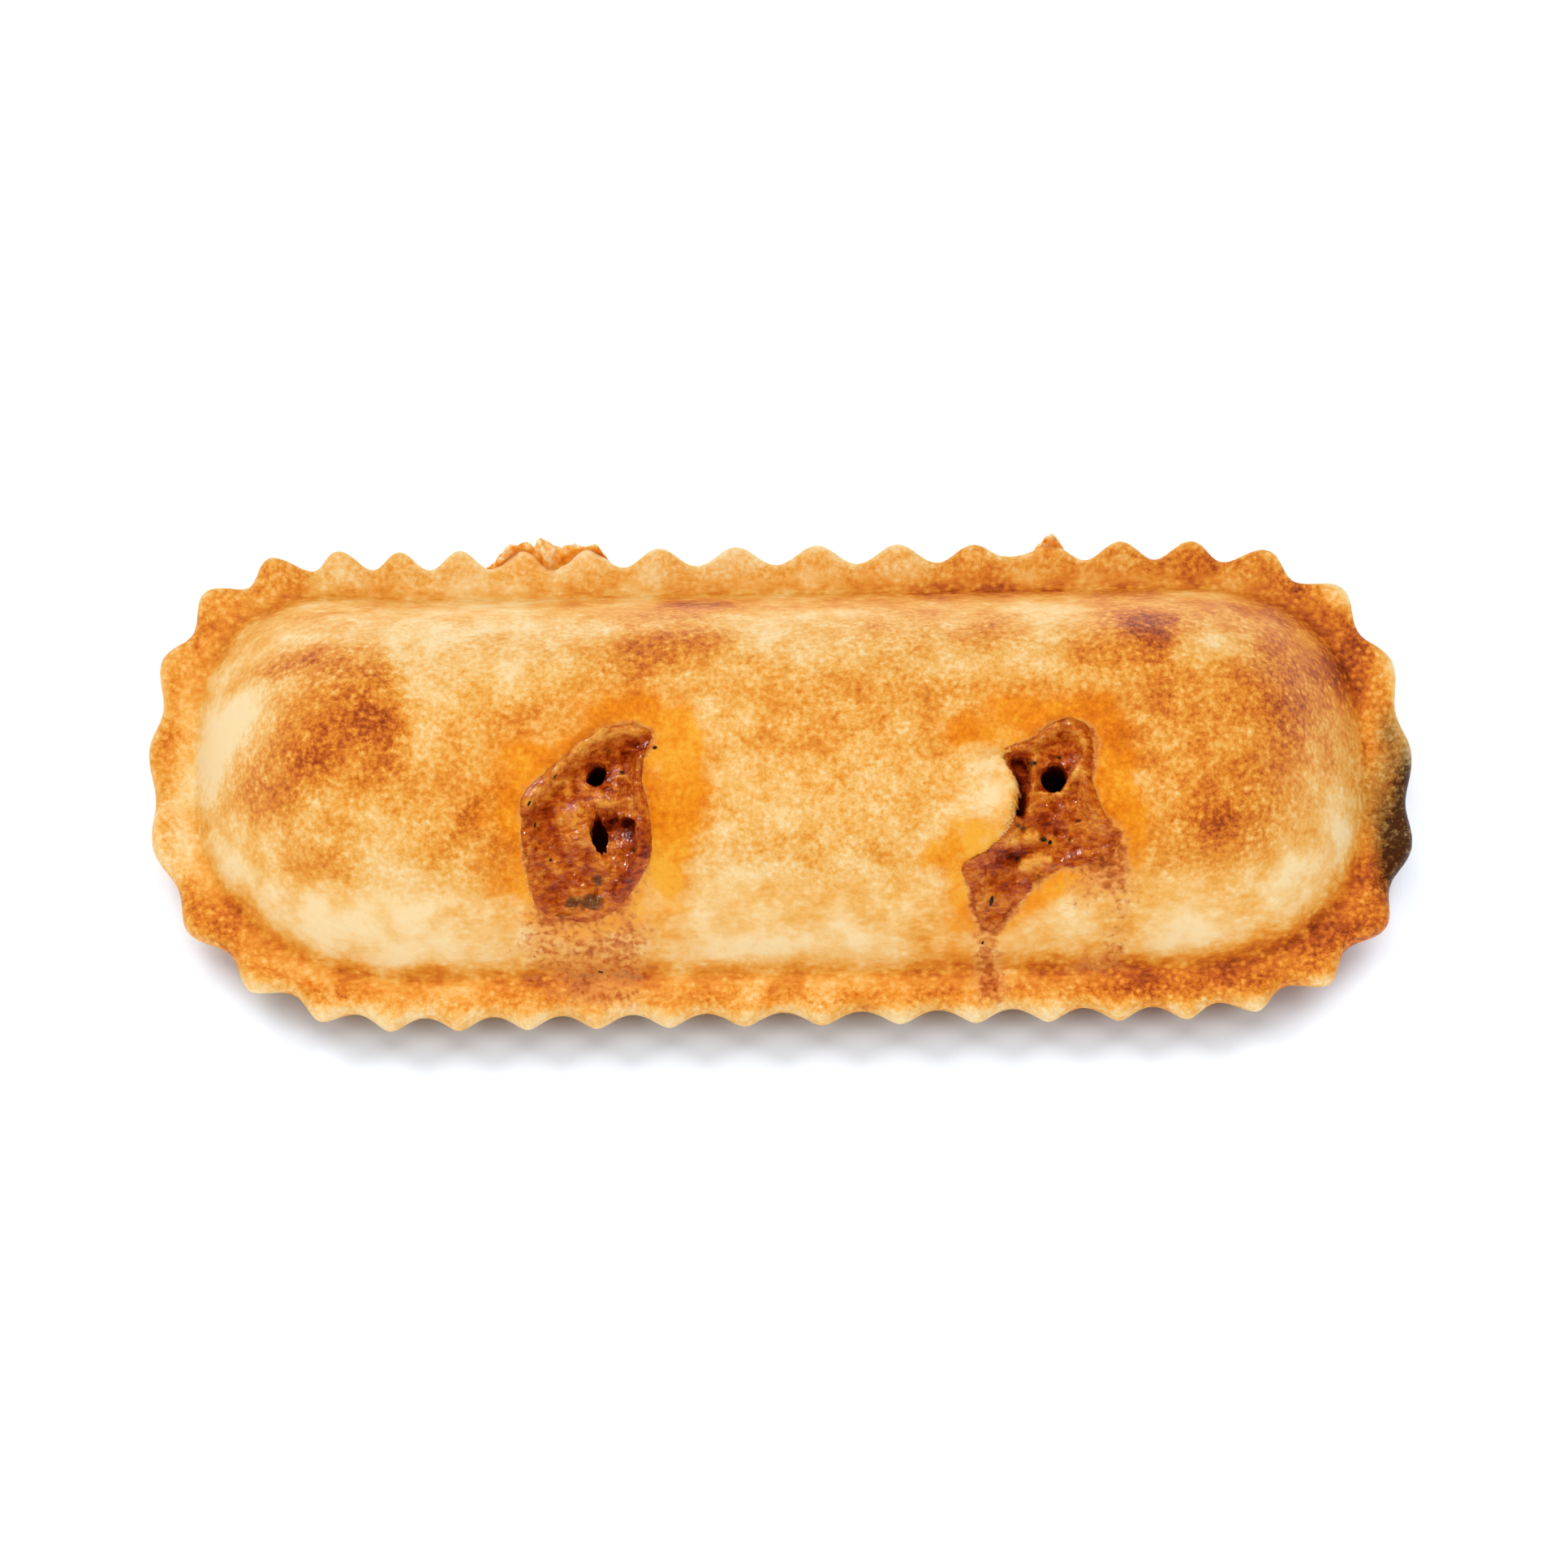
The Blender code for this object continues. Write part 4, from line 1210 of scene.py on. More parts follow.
@dataclass(frozen=True)
class StewedChicken:
    """Shredded chicken cooked in an oily pepper sauce, then baked until it glazed over.

    The sauce is wet and half clear, so it reads dark red where it is deep and orange where it is
    thin, and its skin glints on every ridge. Pattern sizes are in millimetres.
    """

    shades: Stops = (
        (0.0, "3a0600"), (0.18, "641602"), (0.36, "983004"), (0.54, "bc5210"), (0.74, "da7c22"),
        (1.0, "f4a844"),
    )
    dark_meat: str = "3c261a"
    shred: float = 1.9
    fibre: float = 0.6
    lie: float = -35.0
    droplet: float = 0.45
    bead_height: float = 0.3
    fibre_height: float = 0.35
    roughness: float = 0.3

    def material(self) -> bpy.types.Material:
        """Makes the filling's material from the attributes that Filling stores."""
        material, tree, shader, place = start_material("stewed_chicken_in_pepper_sauce")
        tone, chunk = (
            add_node(tree, "ShaderNodeAttribute", {"attribute_name": name}, {}).outputs["Fac"]
            for name in ("tone", "chunk")
        )
        # Shreds lie at a slant, so their noise is squeezed across that direction.
        turn = (0.0, 0.0, math.radians(self.lie))
        lie = {"Vector": place, "Rotation": turn, "Scale": (0.4, 1.0, 1.0)}
        slanted = add_node(tree, "ShaderNodeMapping", {}, lie)
        coarse = {"Scale": 1.0 / (self.shred * MM), "Detail": 4.0, "Distortion": 0.6}
        shreds = add_node(tree, "ShaderNodeTexNoise", {}, {"Vector": place, **coarse})
        fine = {"Scale": 1.0 / (self.fibre * MM), "Detail": 6.0, "Distortion": 0.4}
        fibres = add_node(tree, "ShaderNodeTexNoise", {}, {"Vector": slanted, **fine})
        add = {"operation": "MULTIPLY_ADD"}
        shift = add_node(tree, "ShaderNodeMath", add, {0: shreds, 1: 0.8, 2: -0.4})
        shade = add_node(tree, "ShaderNodeMath", {}, {0: tone, 1: shift})
        shift = add_node(tree, "ShaderNodeMath", add, {0: fibres, 1: 0.9, 2: -0.43})
        shade = add_node(tree, "ShaderNodeMath", {}, {0: shade, 1: shift})
        sauce = add_node(tree, "ShaderNodeValToRGB", {}, {"Fac": shade})
        colour_ramp(sauce, self.shades)
        meat = {0: chunk, 6: sauce, 7: linear(self.dark_meat)}
        colour = add_node(tree, "ShaderNodeMix", {"data_type": "RGBA"}, meat)
        tree.links.new(colour.outputs[2], shader.inputs["Base Color"])
        set_inputs(shader, {
            "Roughness": self.roughness,
            "IOR": FOOD_IOR,
            "Specular IOR Level": 0.12,
            "Specular Tint": linear("ffd9b4"),
            "Coat Weight": 0.5,
            "Coat Roughness": 0.06,
            "Subsurface Weight": 0.12,
            "Subsurface Radius": (2.0 * MM, 0.7 * MM, 0.3 * MM),
            "Subsurface Scale": 0.5,
        })
        # The sauce beads up, and each smooth bead glints; the meat's fibres only show under it.
        beads = {"Vector": place, "Scale": 1.0 / (self.droplet * MM), "Detail": 1.0}
        beads = add_node(tree, "ShaderNodeTexNoise", {}, beads)
        bump = {"Strength": 1.0, "Distance": self.bead_height * MM, "Height": beads}
        beaded = add_node(tree, "ShaderNodeBump", {}, bump)
        relief = add_node(tree, "ShaderNodeMath", {}, {0: fibres, 1: beads})
        bump = {"Strength": 0.9, "Distance": self.fibre_height * MM, "Height": relief}
        bumped = add_node(tree, "ShaderNodeBump", {}, bump)
        tree.links.new(bumped.outputs[0], shader.inputs["Normal"])
        tree.links.new(beaded.outputs[0], shader.inputs["Coat Normal"])
        return material


@dataclass(frozen=True)
class SteamHole:
    """A hole that steam has blown in the filling, in millimetres.

    Its wall starts a margin above the lid and ends a margin below its depth.
    """

    x: float
    y: float
    half_x: float
    half_y: float
    depth: float
    turn: float = 0.0
    taper: float = 0.7
    ragged: float = 0.12
    segments: int = 48
    rings: int = 26
    cap_rings: int = 3
    round_rings: int = 6
    margin: float = 1.3
    cap_step: float = 0.4
    foot_step: float = 0.1
    lip: float = 0.18
    lip_ring: int = 5

    def tool(self, name: str, lid: Lid, number: int) -> bpy.types.Object:
        """Makes the closed shape that is cut out of the filling.

        Args:
            name: The object's name.
            lid: The lid that the hole starts under.
            number: The hole's number, which makes its outline unlike the others'.

        Returns:
            The cutting object.
        """
        # The first rings close the top, above the filling, and the last ones round off the bottom.
        builder, ring, segment = moulded_sphere(self.segments, self.rings)
        angle = 2.0 * math.pi * segment / self.segments
        first, last = self.cap_rings, self.rings - self.cap_rings
        share = np.clip((ring - first) / (last - first), 0.0, 1.0)
        deep = np.clip((ring - self.rings) / self.round_rings + 1.0, 0.0, 1.0)
        closed = np.clip(ring / first, 0.0, 1.0) * np.sqrt(np.clip(1.0 - deep**2, 0.0, 1.0))
        walls = np.stack((np.cos(angle), np.sin(angle), 0.8 * share + number), axis=1)
        wobble = 1.0 + self.ragged * (Lumps(1.6, 1.0).at(walls) + Lumps(1.0, 0.3, 2).at(walls))
        lip = self.lip * np.exp(-(((ring - self.lip_ring) / 2.0) ** 2))
        size = closed * wobble * (1.0 - (1.0 - self.taper) * share + lip)
        u, v = self.half_x * size * np.cos(angle), self.half_y * size * np.sin(angle)
        turn = math.radians(self.turn)
        x = (self.x + u * math.cos(turn) - v * math.sin(turn)) * MM
        y = (self.y + u * math.sin(turn) + v * math.cos(turn)) * MM
        top = float(lid.height(np.array([[self.x * MM, self.y * MM, 0.0]]))[0])
        drop = (self.depth + 2.0 * self.margin) * share - self.margin
        drop -= self.cap_step * np.maximum(0, first - ring)
        drop += self.foot_step * np.maximum(0, ring - last)
        move_vertices(builder, np.stack((x, y, top - drop * MM), axis=1))
        return to_object(name, builder)


@dataclass
class Filling:
    """The filling: one mass between the sheets of dough that stands up into both vents."""

    lid: Lid = field(default_factory=Lid)
    finish: StewedChicken = field(default_factory=StewedChicken)
    segments: int = 300
    rings: int = 84
    brim: float = 1.1 * MM
    brim_sunk: float = -0.1 * MM
    middle_sunk: float = 1.1 * MM
    edge_dip: float = 0.6 * MM
    inner_reach: Pair = (0.1 * MM, -1.8 * MM)
    plug_foot: float = 4.6 * MM
    sharp_angle: float = 55.0
    crags: tuple[Lumps, ...] = (
        Lumps(0.8 * MM, 3.0 * MM, 3, 2.0),
        Lumps(0.45 * MM, 1.2 * MM, 2, 9.0),
        Lumps(0.15 * MM, 0.5 * MM, 2, 4.0),
    )
    brim_crags: float = 0.4
    usual_tone: float = 0.54
    painted_relief_light: float = 0.15
    painted_depth_shade: float = 0.3
    painted_hole_shade: float = 0.5
    paint_reach: float = 1.5 * MM
    most_ridge: float = 1.6
    deep: Pair = (2.2, 5.5)
    down_wall: Pair = (0.8, 3.0)
    chunk_edge: Lumps = Lumps(0.25, 0.5 * MM, 2, 8.0)
    chunk_from: float = 0.1
    chunk_border: Pair = (0.25, 0.7)
    chunk_dark: float = 0.8
    holes: tuple[SteamHole, ...] = (
        SteamHole(-24.1, -5.5, 1.3, 1.75, 4.6, -25.0, 0.85),
        SteamHole(-21.9, -12.3, 2.7, 3.0, 1.2, 0.0, 0.85, 0.25),
        SteamHole(-23.8, -12.6, 1.15, 2.5, 4.0, 8.0, 0.8, 0.25),
        SteamHole(35.5, -6.7, 1.85, 2.0, 5.0, 0.0, 0.85, 0.08),
    )
    ridges: Marks = (
        # The left vent: the glazed lip along its upper left, and the red ridge at its right.
        Strand(((-33.0, -9.4), (-29.6, -5.9), (-26.2, -2.5), (-23.2, -0.7)), 0.8, 1.2 * MM),
        Strand(((-23.2, -0.7), (-20.6, -0.2), (-18.2, -0.6)), 0.8, 1.1 * MM),
        Strand(((-18.4, -3.4), (-18.9, -7.0), (-18.4, -10.5)), 0.8, 0.7 * MM),
        Strand(((-18.6, -12.4), (-18.3, -14.8), (-19.8, -17.0), (-21.8, -19.2)), 0.95, 1.6 * MM),
        Strand(((-24.6, -9.0), (-22.6, -9.2), (-20.2, -9.3)), 0.6, 0.7 * MM),
        Spot(-27.2, -11.4, 1.8, 2.2, 0.8 * MM),
        Spot(-23.6, -16.4, 1.3, 1.0, 0.8 * MM),
        Spot(-25.0, -20.0, 1.7, 1.0, 0.7 * MM),
        Spot(-27.8, -20.0, 1.0, 0.8, 0.5 * MM),
        Spot(-24.2, -17.8, 0.9, 0.7, 0.3 * MM),
        Spot(-21.0, -3.4, 1.8, 1.5, -0.6 * MM),
        Spot(-30.4, -10.0, 1.2, 2.0, -0.7 * MM),
        Spot(-28.0, -5.8, 1.4, 1.0, -0.5 * MM),
        # The right vent: the glazed tip, the strands round its hole, and lumps of red meat below.
        Strand(((31.4, -3.4), (33.8, -2.4), (36.0, -0.6)), 0.7, 1.2 * MM),
        Strand(((37.4, -0.2), (39.0, -1.8), (39.4, -4.4), (38.2, -6.4)), 0.75, 1.2 * MM),
        Strand(((39.4, -7.0), (39.8, -9.8), (41.8, -12.6)), 0.7, 0.7 * MM),
        Strand(((38.0, -6.8), (36.4, -9.0), (34.0, -8.8)), 0.5, 0.7 * MM),
        Strand(((33.0, -5.6), (32.8, -8.4), (32.2, -10.8)), 0.6, 1.0 * MM),
        Spot(34.2, -10.0, 1.0, 1.1, 0.9 * MM),
        Spot(32.6, -11.6, 1.1, 0.8, 0.9 * MM),
        Spot(35.8, -11.6, 1.3, 1.2, 0.7 * MM),
        Strand(((29.6, -14.6), (31.4, -14.2), (33.0, -13.8)), 0.6, 0.7 * MM),
        Strand(((31.6, -17.0), (33.0, -16.6), (34.6, -16.6)), 0.8, 1.0 * MM),
        Spot(31.0, -19.2, 1.4, 0.9, 0.6 * MM),
        Spot(25.4, -17.4, 1.0, 1.0, 0.5 * MM),
        Strand(((31.1, -4.8), (31.2, -7.6), (30.9, -10.8)), 0.75, -2.0 * MM),
        Strand(((28.4, -16.0), (31.0, -15.6)), 0.8, -0.8 * MM),
        Spot(27.8, -18.0, 1.6, 1.2, -0.7 * MM),
    )
    glaze_and_hole_shade: Marks = (
        # The first two spots paint shade into two of the steam holes.
        Spot(-24.1, -5.5, 1.2, 1.6, -0.5),
        Spot(35.5, -6.7, 1.7, 1.8, -0.5),
        Strand(((-33.4, -9.4), (-29.6, -5.9), (-26.2, -2.5), (-23.2, -0.7)), 0.8, 0.12),
        Strand(((-23.2, -0.7), (-20.6, 0.0), (-18.0, -0.2)), 0.8, 0.16),
        Strand(((-18.2, -3.0), (-18.9, -7.0)), 0.9, -0.08),
        Strand(((-18.6, -13.0), (-18.3, -15.2), (-19.8, -17.0), (-21.8, -19.4)), 1.1, -0.40),
        Spot(-18.9, -1.9, 1.6, 1.1, -0.24),
        Spot(-23.2, -2.4, 2.0, 0.9, -0.08),
        Spot(-27.2, -11.2, 2.0, 2.4, 0.16),
        Spot(-24.4, -7.8, 1.8, 0.6, 0.14),
        Spot(-22.4, -9.2, 2.2, 0.5, 0.16),
        Spot(-30.4, -10.0, 1.6, 2.6, -0.10),
        Spot(-21.4, -12.6, 2.0, 2.4, 0.10),
        # Painted shade in a small cavity at the right of the pit.
        Spot(-20.2, -13.0, 0.6, 0.8, -0.30),
        Spot(-23.4, -15.8, 1.2, 0.7, 0.14),
        Spot(-26.0, -21.2, 6.0, 1.2, 0.08),
        Spot(36.8, -2.6, 1.8, 1.2, -0.08),
        Strand(((37.4, -1.2), (38.6, -2.2)), 0.6, 0.10),
        Strand(((38.0, -6.8), (36.4, -9.0), (34.0, -8.8)), 0.5, 0.22),
        Strand(((33.0, -5.6), (32.8, -8.4), (32.2, -10.8)), 0.6, 0.12),
        # Painted shade along the trench to the left of the right vent's strands.
        Strand(((31.1, -4.8), (31.2, -7.6), (30.9, -10.8)), 0.8, -0.34),
        Spot(35.0, -11.4, 2.0, 1.6, -0.20),
        Strand(((29.6, -14.6), (31.4, -14.2), (33.0, -13.8)), 0.6, 0.24),
        Strand(((28.6, -15.8), (31.4, -15.4)), 0.8, -0.24),
        Strand(((31.6, -17.0), (34.6, -16.6)), 0.8, 0.24),
        Spot(31.0, -19.3, 1.5, 0.9, -0.36),
        Spot(27.8, -17.8, 1.6, 1.2, 0.06),
        Spot(40.4, -13.4, 2.4, 2.4, 0.06),
        Spot(26.4, -21.0, 1.8, 2.0, 0.10),
    )
    chunks: Marks = (
        Spot(-25.0, -20.1, 1.7, 1.0, 1.0),
        Spot(-27.8, -20.1, 1.0, 0.7, 0.9),
        Spot(-24.2, -17.7, 0.8, 0.6, 0.9),
        Spot(-22.6, -2.2, 0.9, 0.5, 0.5),
        Spot(32.6, -5.0, 0.9, 0.7, 0.7),
        Spot(31.2, -12.8, 1.3, 0.6, 0.6),
        Spot(34.0, -14.1, 0.6, 0.5, 0.8),
    )

    def build(self) -> bpy.types.Object:
        """Makes the filling and paints it."""
        filling = Room(self.lid).build(FILLING_NAME, 0.0)
        for number, vent in enumerate(VENTS):
            carve(filling, self._plug(vent, f"plug_{number}"), Carve.JOIN)
        for number, hole in enumerate(self.holes):
            carve(filling, hole.tool(f"hole_{number}", self.lid, number), Carve.CUT)
        filling.data.set_sharp_from_angle(angle=math.radians(self.sharp_angle))
        self._paint(filling)
        install(filling, Slot.FILLING, self.finish.material(), "filling")
        return filling

    def _inner(self, flat: Array) -> Array:
        """Rises from 0 at a vent's torn edge to 1 in its middle."""
        outside = np.min([vent.outside(flat) for vent in VENTS], axis=0)
        return smooth_step(*self.inner_reach, outside)

    def _crags(self, flat: Array) -> Array:
        """Height of the filling's lumps and ridges over points in plan."""
        lumps = sum(lumps.at(flat) for lumps in self.crags)
        share = self.brim_crags + (1.0 - self.brim_crags) * self._inner(flat)
        return lumps * share + marks_at(self.ridges, flat)

    def surface(self, points: Array) -> Array:
        """Height of the filling's glazed skin over points in a vent, without the steam holes."""
        flat = flattened(points)
        sunk = self.brim_sunk + (self.middle_sunk - self.brim_sunk) * self._inner(flat)
        return self.lid.height(flat) - sunk + self._crags(flat)

    def _paint(self, filling: bpy.types.Object) -> None:
        """Stores how light the sauce is at each vertex, painted light and shade included, and where
        dark meat shows.
        """
        points = mesh_points(filling)
        flat = flattened(points)
        near = np.min([vent.outside(flat) for vent in VENTS], axis=0) < self.paint_reach
        tone = np.full(len(points), self.usual_tone)
        # Painted light and shade: ridges are painted lighter and hollows darker, and the sauce is
        # painted darker with its depth and down the steam holes' walls, where shade falls.
        crags = np.clip(self._crags(flat[near]) / MM, -self.most_ridge, self.most_ridge)
        tone[near] += self.painted_relief_light * crags
        depth = (self.lid.height(flat[near]) - points[near, 2]) / MM
        tone[near] -= self.painted_depth_shade * smooth_step(*self.deep, depth)
        walls = (self.surface(flat[near]) - points[near, 2]) / MM
        tone[near] -= self.painted_hole_shade * smooth_step(*self.down_wall, walls)
        set_attribute(filling, "tone", tone + marks_at(self.glaze_and_hole_shade, points))
        pieces = marks_at(self.chunks, points)
        pieces[near] += self.chunk_edge.at(points[near]) * (pieces[near] > self.chunk_from)
        set_attribute(filling, "chunk", self.chunk_dark * smooth_step(*self.chunk_border, pieces))

    def _plug(self, vent: Vent, name: str) -> bpy.types.Object:
        """Makes the part of the filling that stands in one vent.

        Args:
            vent: The vent.
            name: The object's name.

        Returns:
            A closed object with the lumpy top.
        """
        builder, ring, segment = moulded_sphere(self.segments, self.rings)
        curve = vent.curve()
        middle = np.array(vent.centre) * MM
        place = segment / self.segments * len(curve)
        index = np.floor(place).astype(int)
        rest = (place - index)[:, None]
        rim = curve[index % len(curve)] * (1.0 - rest) + curve[(index + 1) % len(curve)] * rest
        offset = rim - middle
        offset *= 1.0 + self.brim / np.hypot(*offset.T)[:, None]
        top = self.rings - 2
        share = np.clip(ring / top, 0.0, 1.0)
        share = np.where(ring == self.rings, 0.0, share)
        plan = middle + offset * share[:, None]
        flat = np.column_stack((plan, 0.0 * ring))
        dip = self.edge_dip * smooth_step(0.95, 1.0, share)
        z = np.where(ring <= top, self.surface(flat) - dip, self.plug_foot)
        move_vertices(builder, np.column_stack((plan, z)))
        return to_object(name, builder)


@dataclass(frozen=True)
class CrumblyFilling:
    """Filling that ran out of the seam and baked into dry, half clear orange crumbs.

    Pattern sizes are in millimetres.
    """

    shades: Stops = (
        (0.1, "cc6000"), (0.3, "ee8e10"), (0.52, "fbb044"), (0.85, "fee8b8"),
    )
    crumb: float = 1.3
    contrast: float = 1.5
    roughness: float = 0.35

    def material(self) -> bpy.types.Material:
        """Makes the seam leaks' material."""
        material, tree, shader, place = start_material("baked_out_filling_crumbs")
        pale = add_node(tree, "ShaderNodeAttribute", {"attribute_name": "pale"}, {}).outputs["Fac"]
        lumps = {"Vector": place, "Scale": 1.0 / (self.crumb * MM), "Detail": 4.0}
        crumbs = add_node(tree, "ShaderNodeTexNoise", {}, lumps)
        spread = {0: crumbs, 1: self.contrast, 2: 0.5 - 0.5 * self.contrast}
        shift = add_node(tree, "ShaderNodeMath", {"operation": "MULTIPLY_ADD"}, spread)
        shade = add_node(tree, "ShaderNodeMath", {}, {0: shift, 1: pale})
        ramp = add_node(tree, "ShaderNodeValToRGB", {}, {"Fac": shade})
        colour_ramp(ramp, self.shades)
        tree.links.new(ramp.outputs["Color"], shader.inputs["Base Color"])
        set_inputs(shader, {
            "Roughness": self.roughness,
            "IOR": FOOD_IOR,
            "Subsurface Weight": 0.3,
            "Subsurface Radius": (4.0 * MM, 2.0 * MM, 0.8 * MM),
            "Subsurface Scale": 0.5,
        })
        bump = {"Strength": 0.7, "Distance": 0.3 * MM, "Height": crumbs}
        bumped = add_node(tree, "ShaderNodeBump", {}, bump)
        tree.links.new(bumped.outputs[0], shader.inputs["Normal"])
        return material


@dataclass
class SeamLeak:
    """A craggy frill of baked filling that follows the flutes of the back edge.

    Curls are x, half width and how much higher they stand, in millimetres.
    """

    name: str
    node: str
    start: float
    end: float
    reach: float
    low: float
    curls: tuple[tuple[float, float, float], ...]
    slices: int = 260
    around: int = 72
    tuck: float = 0.9 * MM
    least_thickness: float = 0.5 * MM
    foot: float = 0.2 * MM
    crag: Lumps = Lumps(0.75 * MM, 1.7 * MM, 4)
    upward: float = 1.6
    overhang: float = 0.25 * MM
    lowest: float = 0.1 * MM
    pale_patches: Lumps = Lumps(0.25, 3.0 * MM, 2, 6.0)
    pale_top: float = 0.35
    pale_height: Pair = (6.2, 8.6)
    taper: float = 0.6
    least_taper: float = 0.15

    def build(self, plan: Plan, finish: bpy.types.Material) -> bpy.types.Object:
        """Makes one leak.

        Args:
            plan: The fluted outline that it clings to.
            finish: Its material.

        Returns:
            The new piece.
        """
        builder, ring, segment = moulded_sphere(self.around, self.slices)
        angle = -2.0 * math.pi * segment / self.around
        along = 0.5 - 0.5 * np.cos(math.pi * ring / self.slices)
        swell = np.sin(math.pi * along) ** self.taper
        x = self.start + (self.end - self.start) * along
        height = self.low + sum(h * np.exp(-(((x - at) / half) ** 2)) for at, half, h in self.curls)
        x, height = x * MM, height * MM
        inner = plan.edge(x, plan.side_radius + 0.0 * x) - self.tuck * swell
        outer = plan.side_radius + plan.depth_back + self.reach * MM * swell
        thickness = np.maximum(self.least_thickness, outer - inner)
        thickness *= np.maximum(self.least_taper, swell)
        out, up = 0.5 + 0.5 * np.cos(angle), np.sin(angle)
        z = self.foot + 0.5 * height * (1.0 + swell * up)
        points = np.stack((x, inner + thickness * out, z), axis=1)
        rough = self.crag.at(points) * swell
        points[:, 1] += (rough - self.overhang) * out
        points[:, 2] += self.upward * rough * np.maximum(0.0, up)
        points[:, 2] = np.maximum(points[:, 2], self.lowest)
        move_vertices(builder, points)
        leak = to_object(self.name, builder)
        points = mesh_points(leak)
        top = self.pale_top * smooth_step(*self.pale_height, points[:, 2] / MM)
        set_attribute(leak, "pale", self.pale_patches.at(points) + top)
        install(leak, Slot.LEAK, finish, self.node)
        return leak


LEAKS = (
    SeamLeak(
        "seam_leak_left_crumbs", "seam_leak_left", -40.4, -22.0, 1.1, 6.2,
        ((-36.6, 1.9, 3.0), (-31.7, 1.3, 2.3), (-27.9, 1.6, 1.0), (-24.5, 1.2, 3.2)),
    ),
    SeamLeak(
        "seam_leak_right_crumb", "seam_leak_right", 34.6, 39.8, 0.6, 6.3, ((37.6, 1.4, 1.2),),
        slices=110, around=60,
    ),
)


@dataclass(frozen=True)
class DriedHerb:
    """Chopped parsley and pepper, baked nearly black and a little leathery."""

    leaf: str = "3a2c12"
    seed: str = "1e1008"
    patch: float = 0.4

    def material(self) -> bpy.types.Material:
        """Makes the herb flecks' material."""
        material, tree, shader, place = start_material("dried_parsley_and_pepper")
        lumps = {"Vector": place, "Scale": 1.0 / (self.patch * MM), "Detail": 2.0}
        blotches = add_node(tree, "ShaderNodeTexNoise", {}, lumps)
        ramp = add_node(tree, "ShaderNodeValToRGB", {}, {"Fac": blotches})
        colour_ramp(ramp, ((0.4, self.seed), (0.6, self.leaf)))
        tree.links.new(ramp.outputs["Color"], shader.inputs["Base Color"])
        set_inputs(shader, {"Roughness": 0.5, "IOR": FOOD_IOR, "Specular IOR Level": 0.2})
        return material


@dataclass
class HerbFlecks:
    """The small dark flecks that lie on the filling and on the dried sauce below it.

    Each is x, y, length, width and turn, in millimetres and degrees.
    """

    finish: DriedHerb = field(default_factory=DriedHerb)
    thickness: float = 0.14
    crinkle: float = 0.3
    crinkle_pitch: float = 0.35 * MM
    clearance: float = 0.04 * MM
    probe: float = 0.5 * MM
    on_filling: tuple[Fleck, ...] = (
        (-32.8, -9.6, 1.1, 0.4, 55.0), (-32.2, -11.6, 0.7, 0.3, 80.0),
        (-29.4, -6.2, 0.9, 0.2, 70.0), (-20.8, -5.2, 0.6, 0.4, -30.0),
        (-30.3, -15.5, 0.4, 0.3, 40.0), (33.0, -5.2, 0.9, 0.35, 35.0),
        (36.2, -4.2, 0.6, 0.4, -20.0), (38.6, -12.0, 0.8, 0.2, 5.0),
        (34.0, -14.1, 0.8, 0.6, 0.0), (34.9, -14.5, 0.7, 0.5, 60.0),
        (37.4, -14.2, 0.7, 0.2, 85.0), (30.6, -16.0, 0.7, 0.4, 20.0),
        (27.3, -20.5, 1.8, 0.5, 78.0),
    )
    on_crust: tuple[Fleck, ...] = (
        (-24.3, -26.7, 0.8, 0.3, -15.0), (-26.6, -29.6, 0.7, 0.4, -60.0),
        (-23.0, -29.9, 1.2, 0.5, 10.0), (-16.4, -2.4, 0.6, 0.4, 20.0),
        (26.2, -24.6, 0.6, 0.3, 70.0),
    )

    def build(self, lid: Lid, filling: Filling) -> bpy.types.Object:
        """Makes every fleck as one piece of flattened grains.

        Args:
            lid: The crust that some lie on.
            filling: The filling that the others lie on.

        Returns:
            The new piece.
        """
        builder = bmesh.new()
        for flecks, surface in ((self.on_filling, filling.surface), (self.on_crust, lid.height)):
            for fleck in flecks:
                self._add_fleck(builder, fleck, surface)
        piece = to_object("herb_flecks", builder)
        install(piece, Slot.FILLING, self.finish.material())
        return piece

    def _add_fleck(
        self,
        builder: bmesh.types.BMesh,
        fleck: Fleck,
        surface: Callable[[Array], Array],
    ) -> None:
        """Adds one fleck, lying flat on a surface.

        Args:
            builder: The bmesh that takes it.
            fleck: Its x, y, length, width and turn.
            surface: Gives the height of what it lies on over points in plan.
        """
        x, y, length, width, turn = fleck
        x, y, step = x * MM, y * MM, self.probe
        here, right, back = surface(np.array([(x, y, 0.0), (x + step, y, 0.0), (x, y + step, 0.0)]))
        normal = Vector((here - right, here - back, step)).normalized()
        grain = bmesh.ops.create_icosphere(builder, subdivisions=2, radius=0.5 * MM)["verts"]
        bmesh.ops.scale(builder, verts=grain, vec=(length, width, 2.0 * self.thickness))
        shift = Vector(fleck[:2]).to_3d()
        for vertex in grain:
            vertex.co *= 1.0 + self.crinkle * noise.noise(vertex.co / self.crinkle_pitch + shift)
        turned = Matrix.Rotation(math.radians(turn), 3, "Z")
        tilted = Vector((0.0, 0.0, 1.0)).rotation_difference(normal).to_matrix()
        bmesh.ops.rotate(builder, verts=grain, cent=(0.0, 0.0, 0.0), matrix=tilted @ turned)
        bmesh.ops.translate(builder, verts=grain, vec=(x, y, here + self.clearance))


class Lit(Enum):
    """What a lamp lights: in a studio the food, its wet filling and the paper are lit apart."""

    FOOD = "lit_food"
    FILLING = "lit_filling"
    PAPER = "lit_paper"


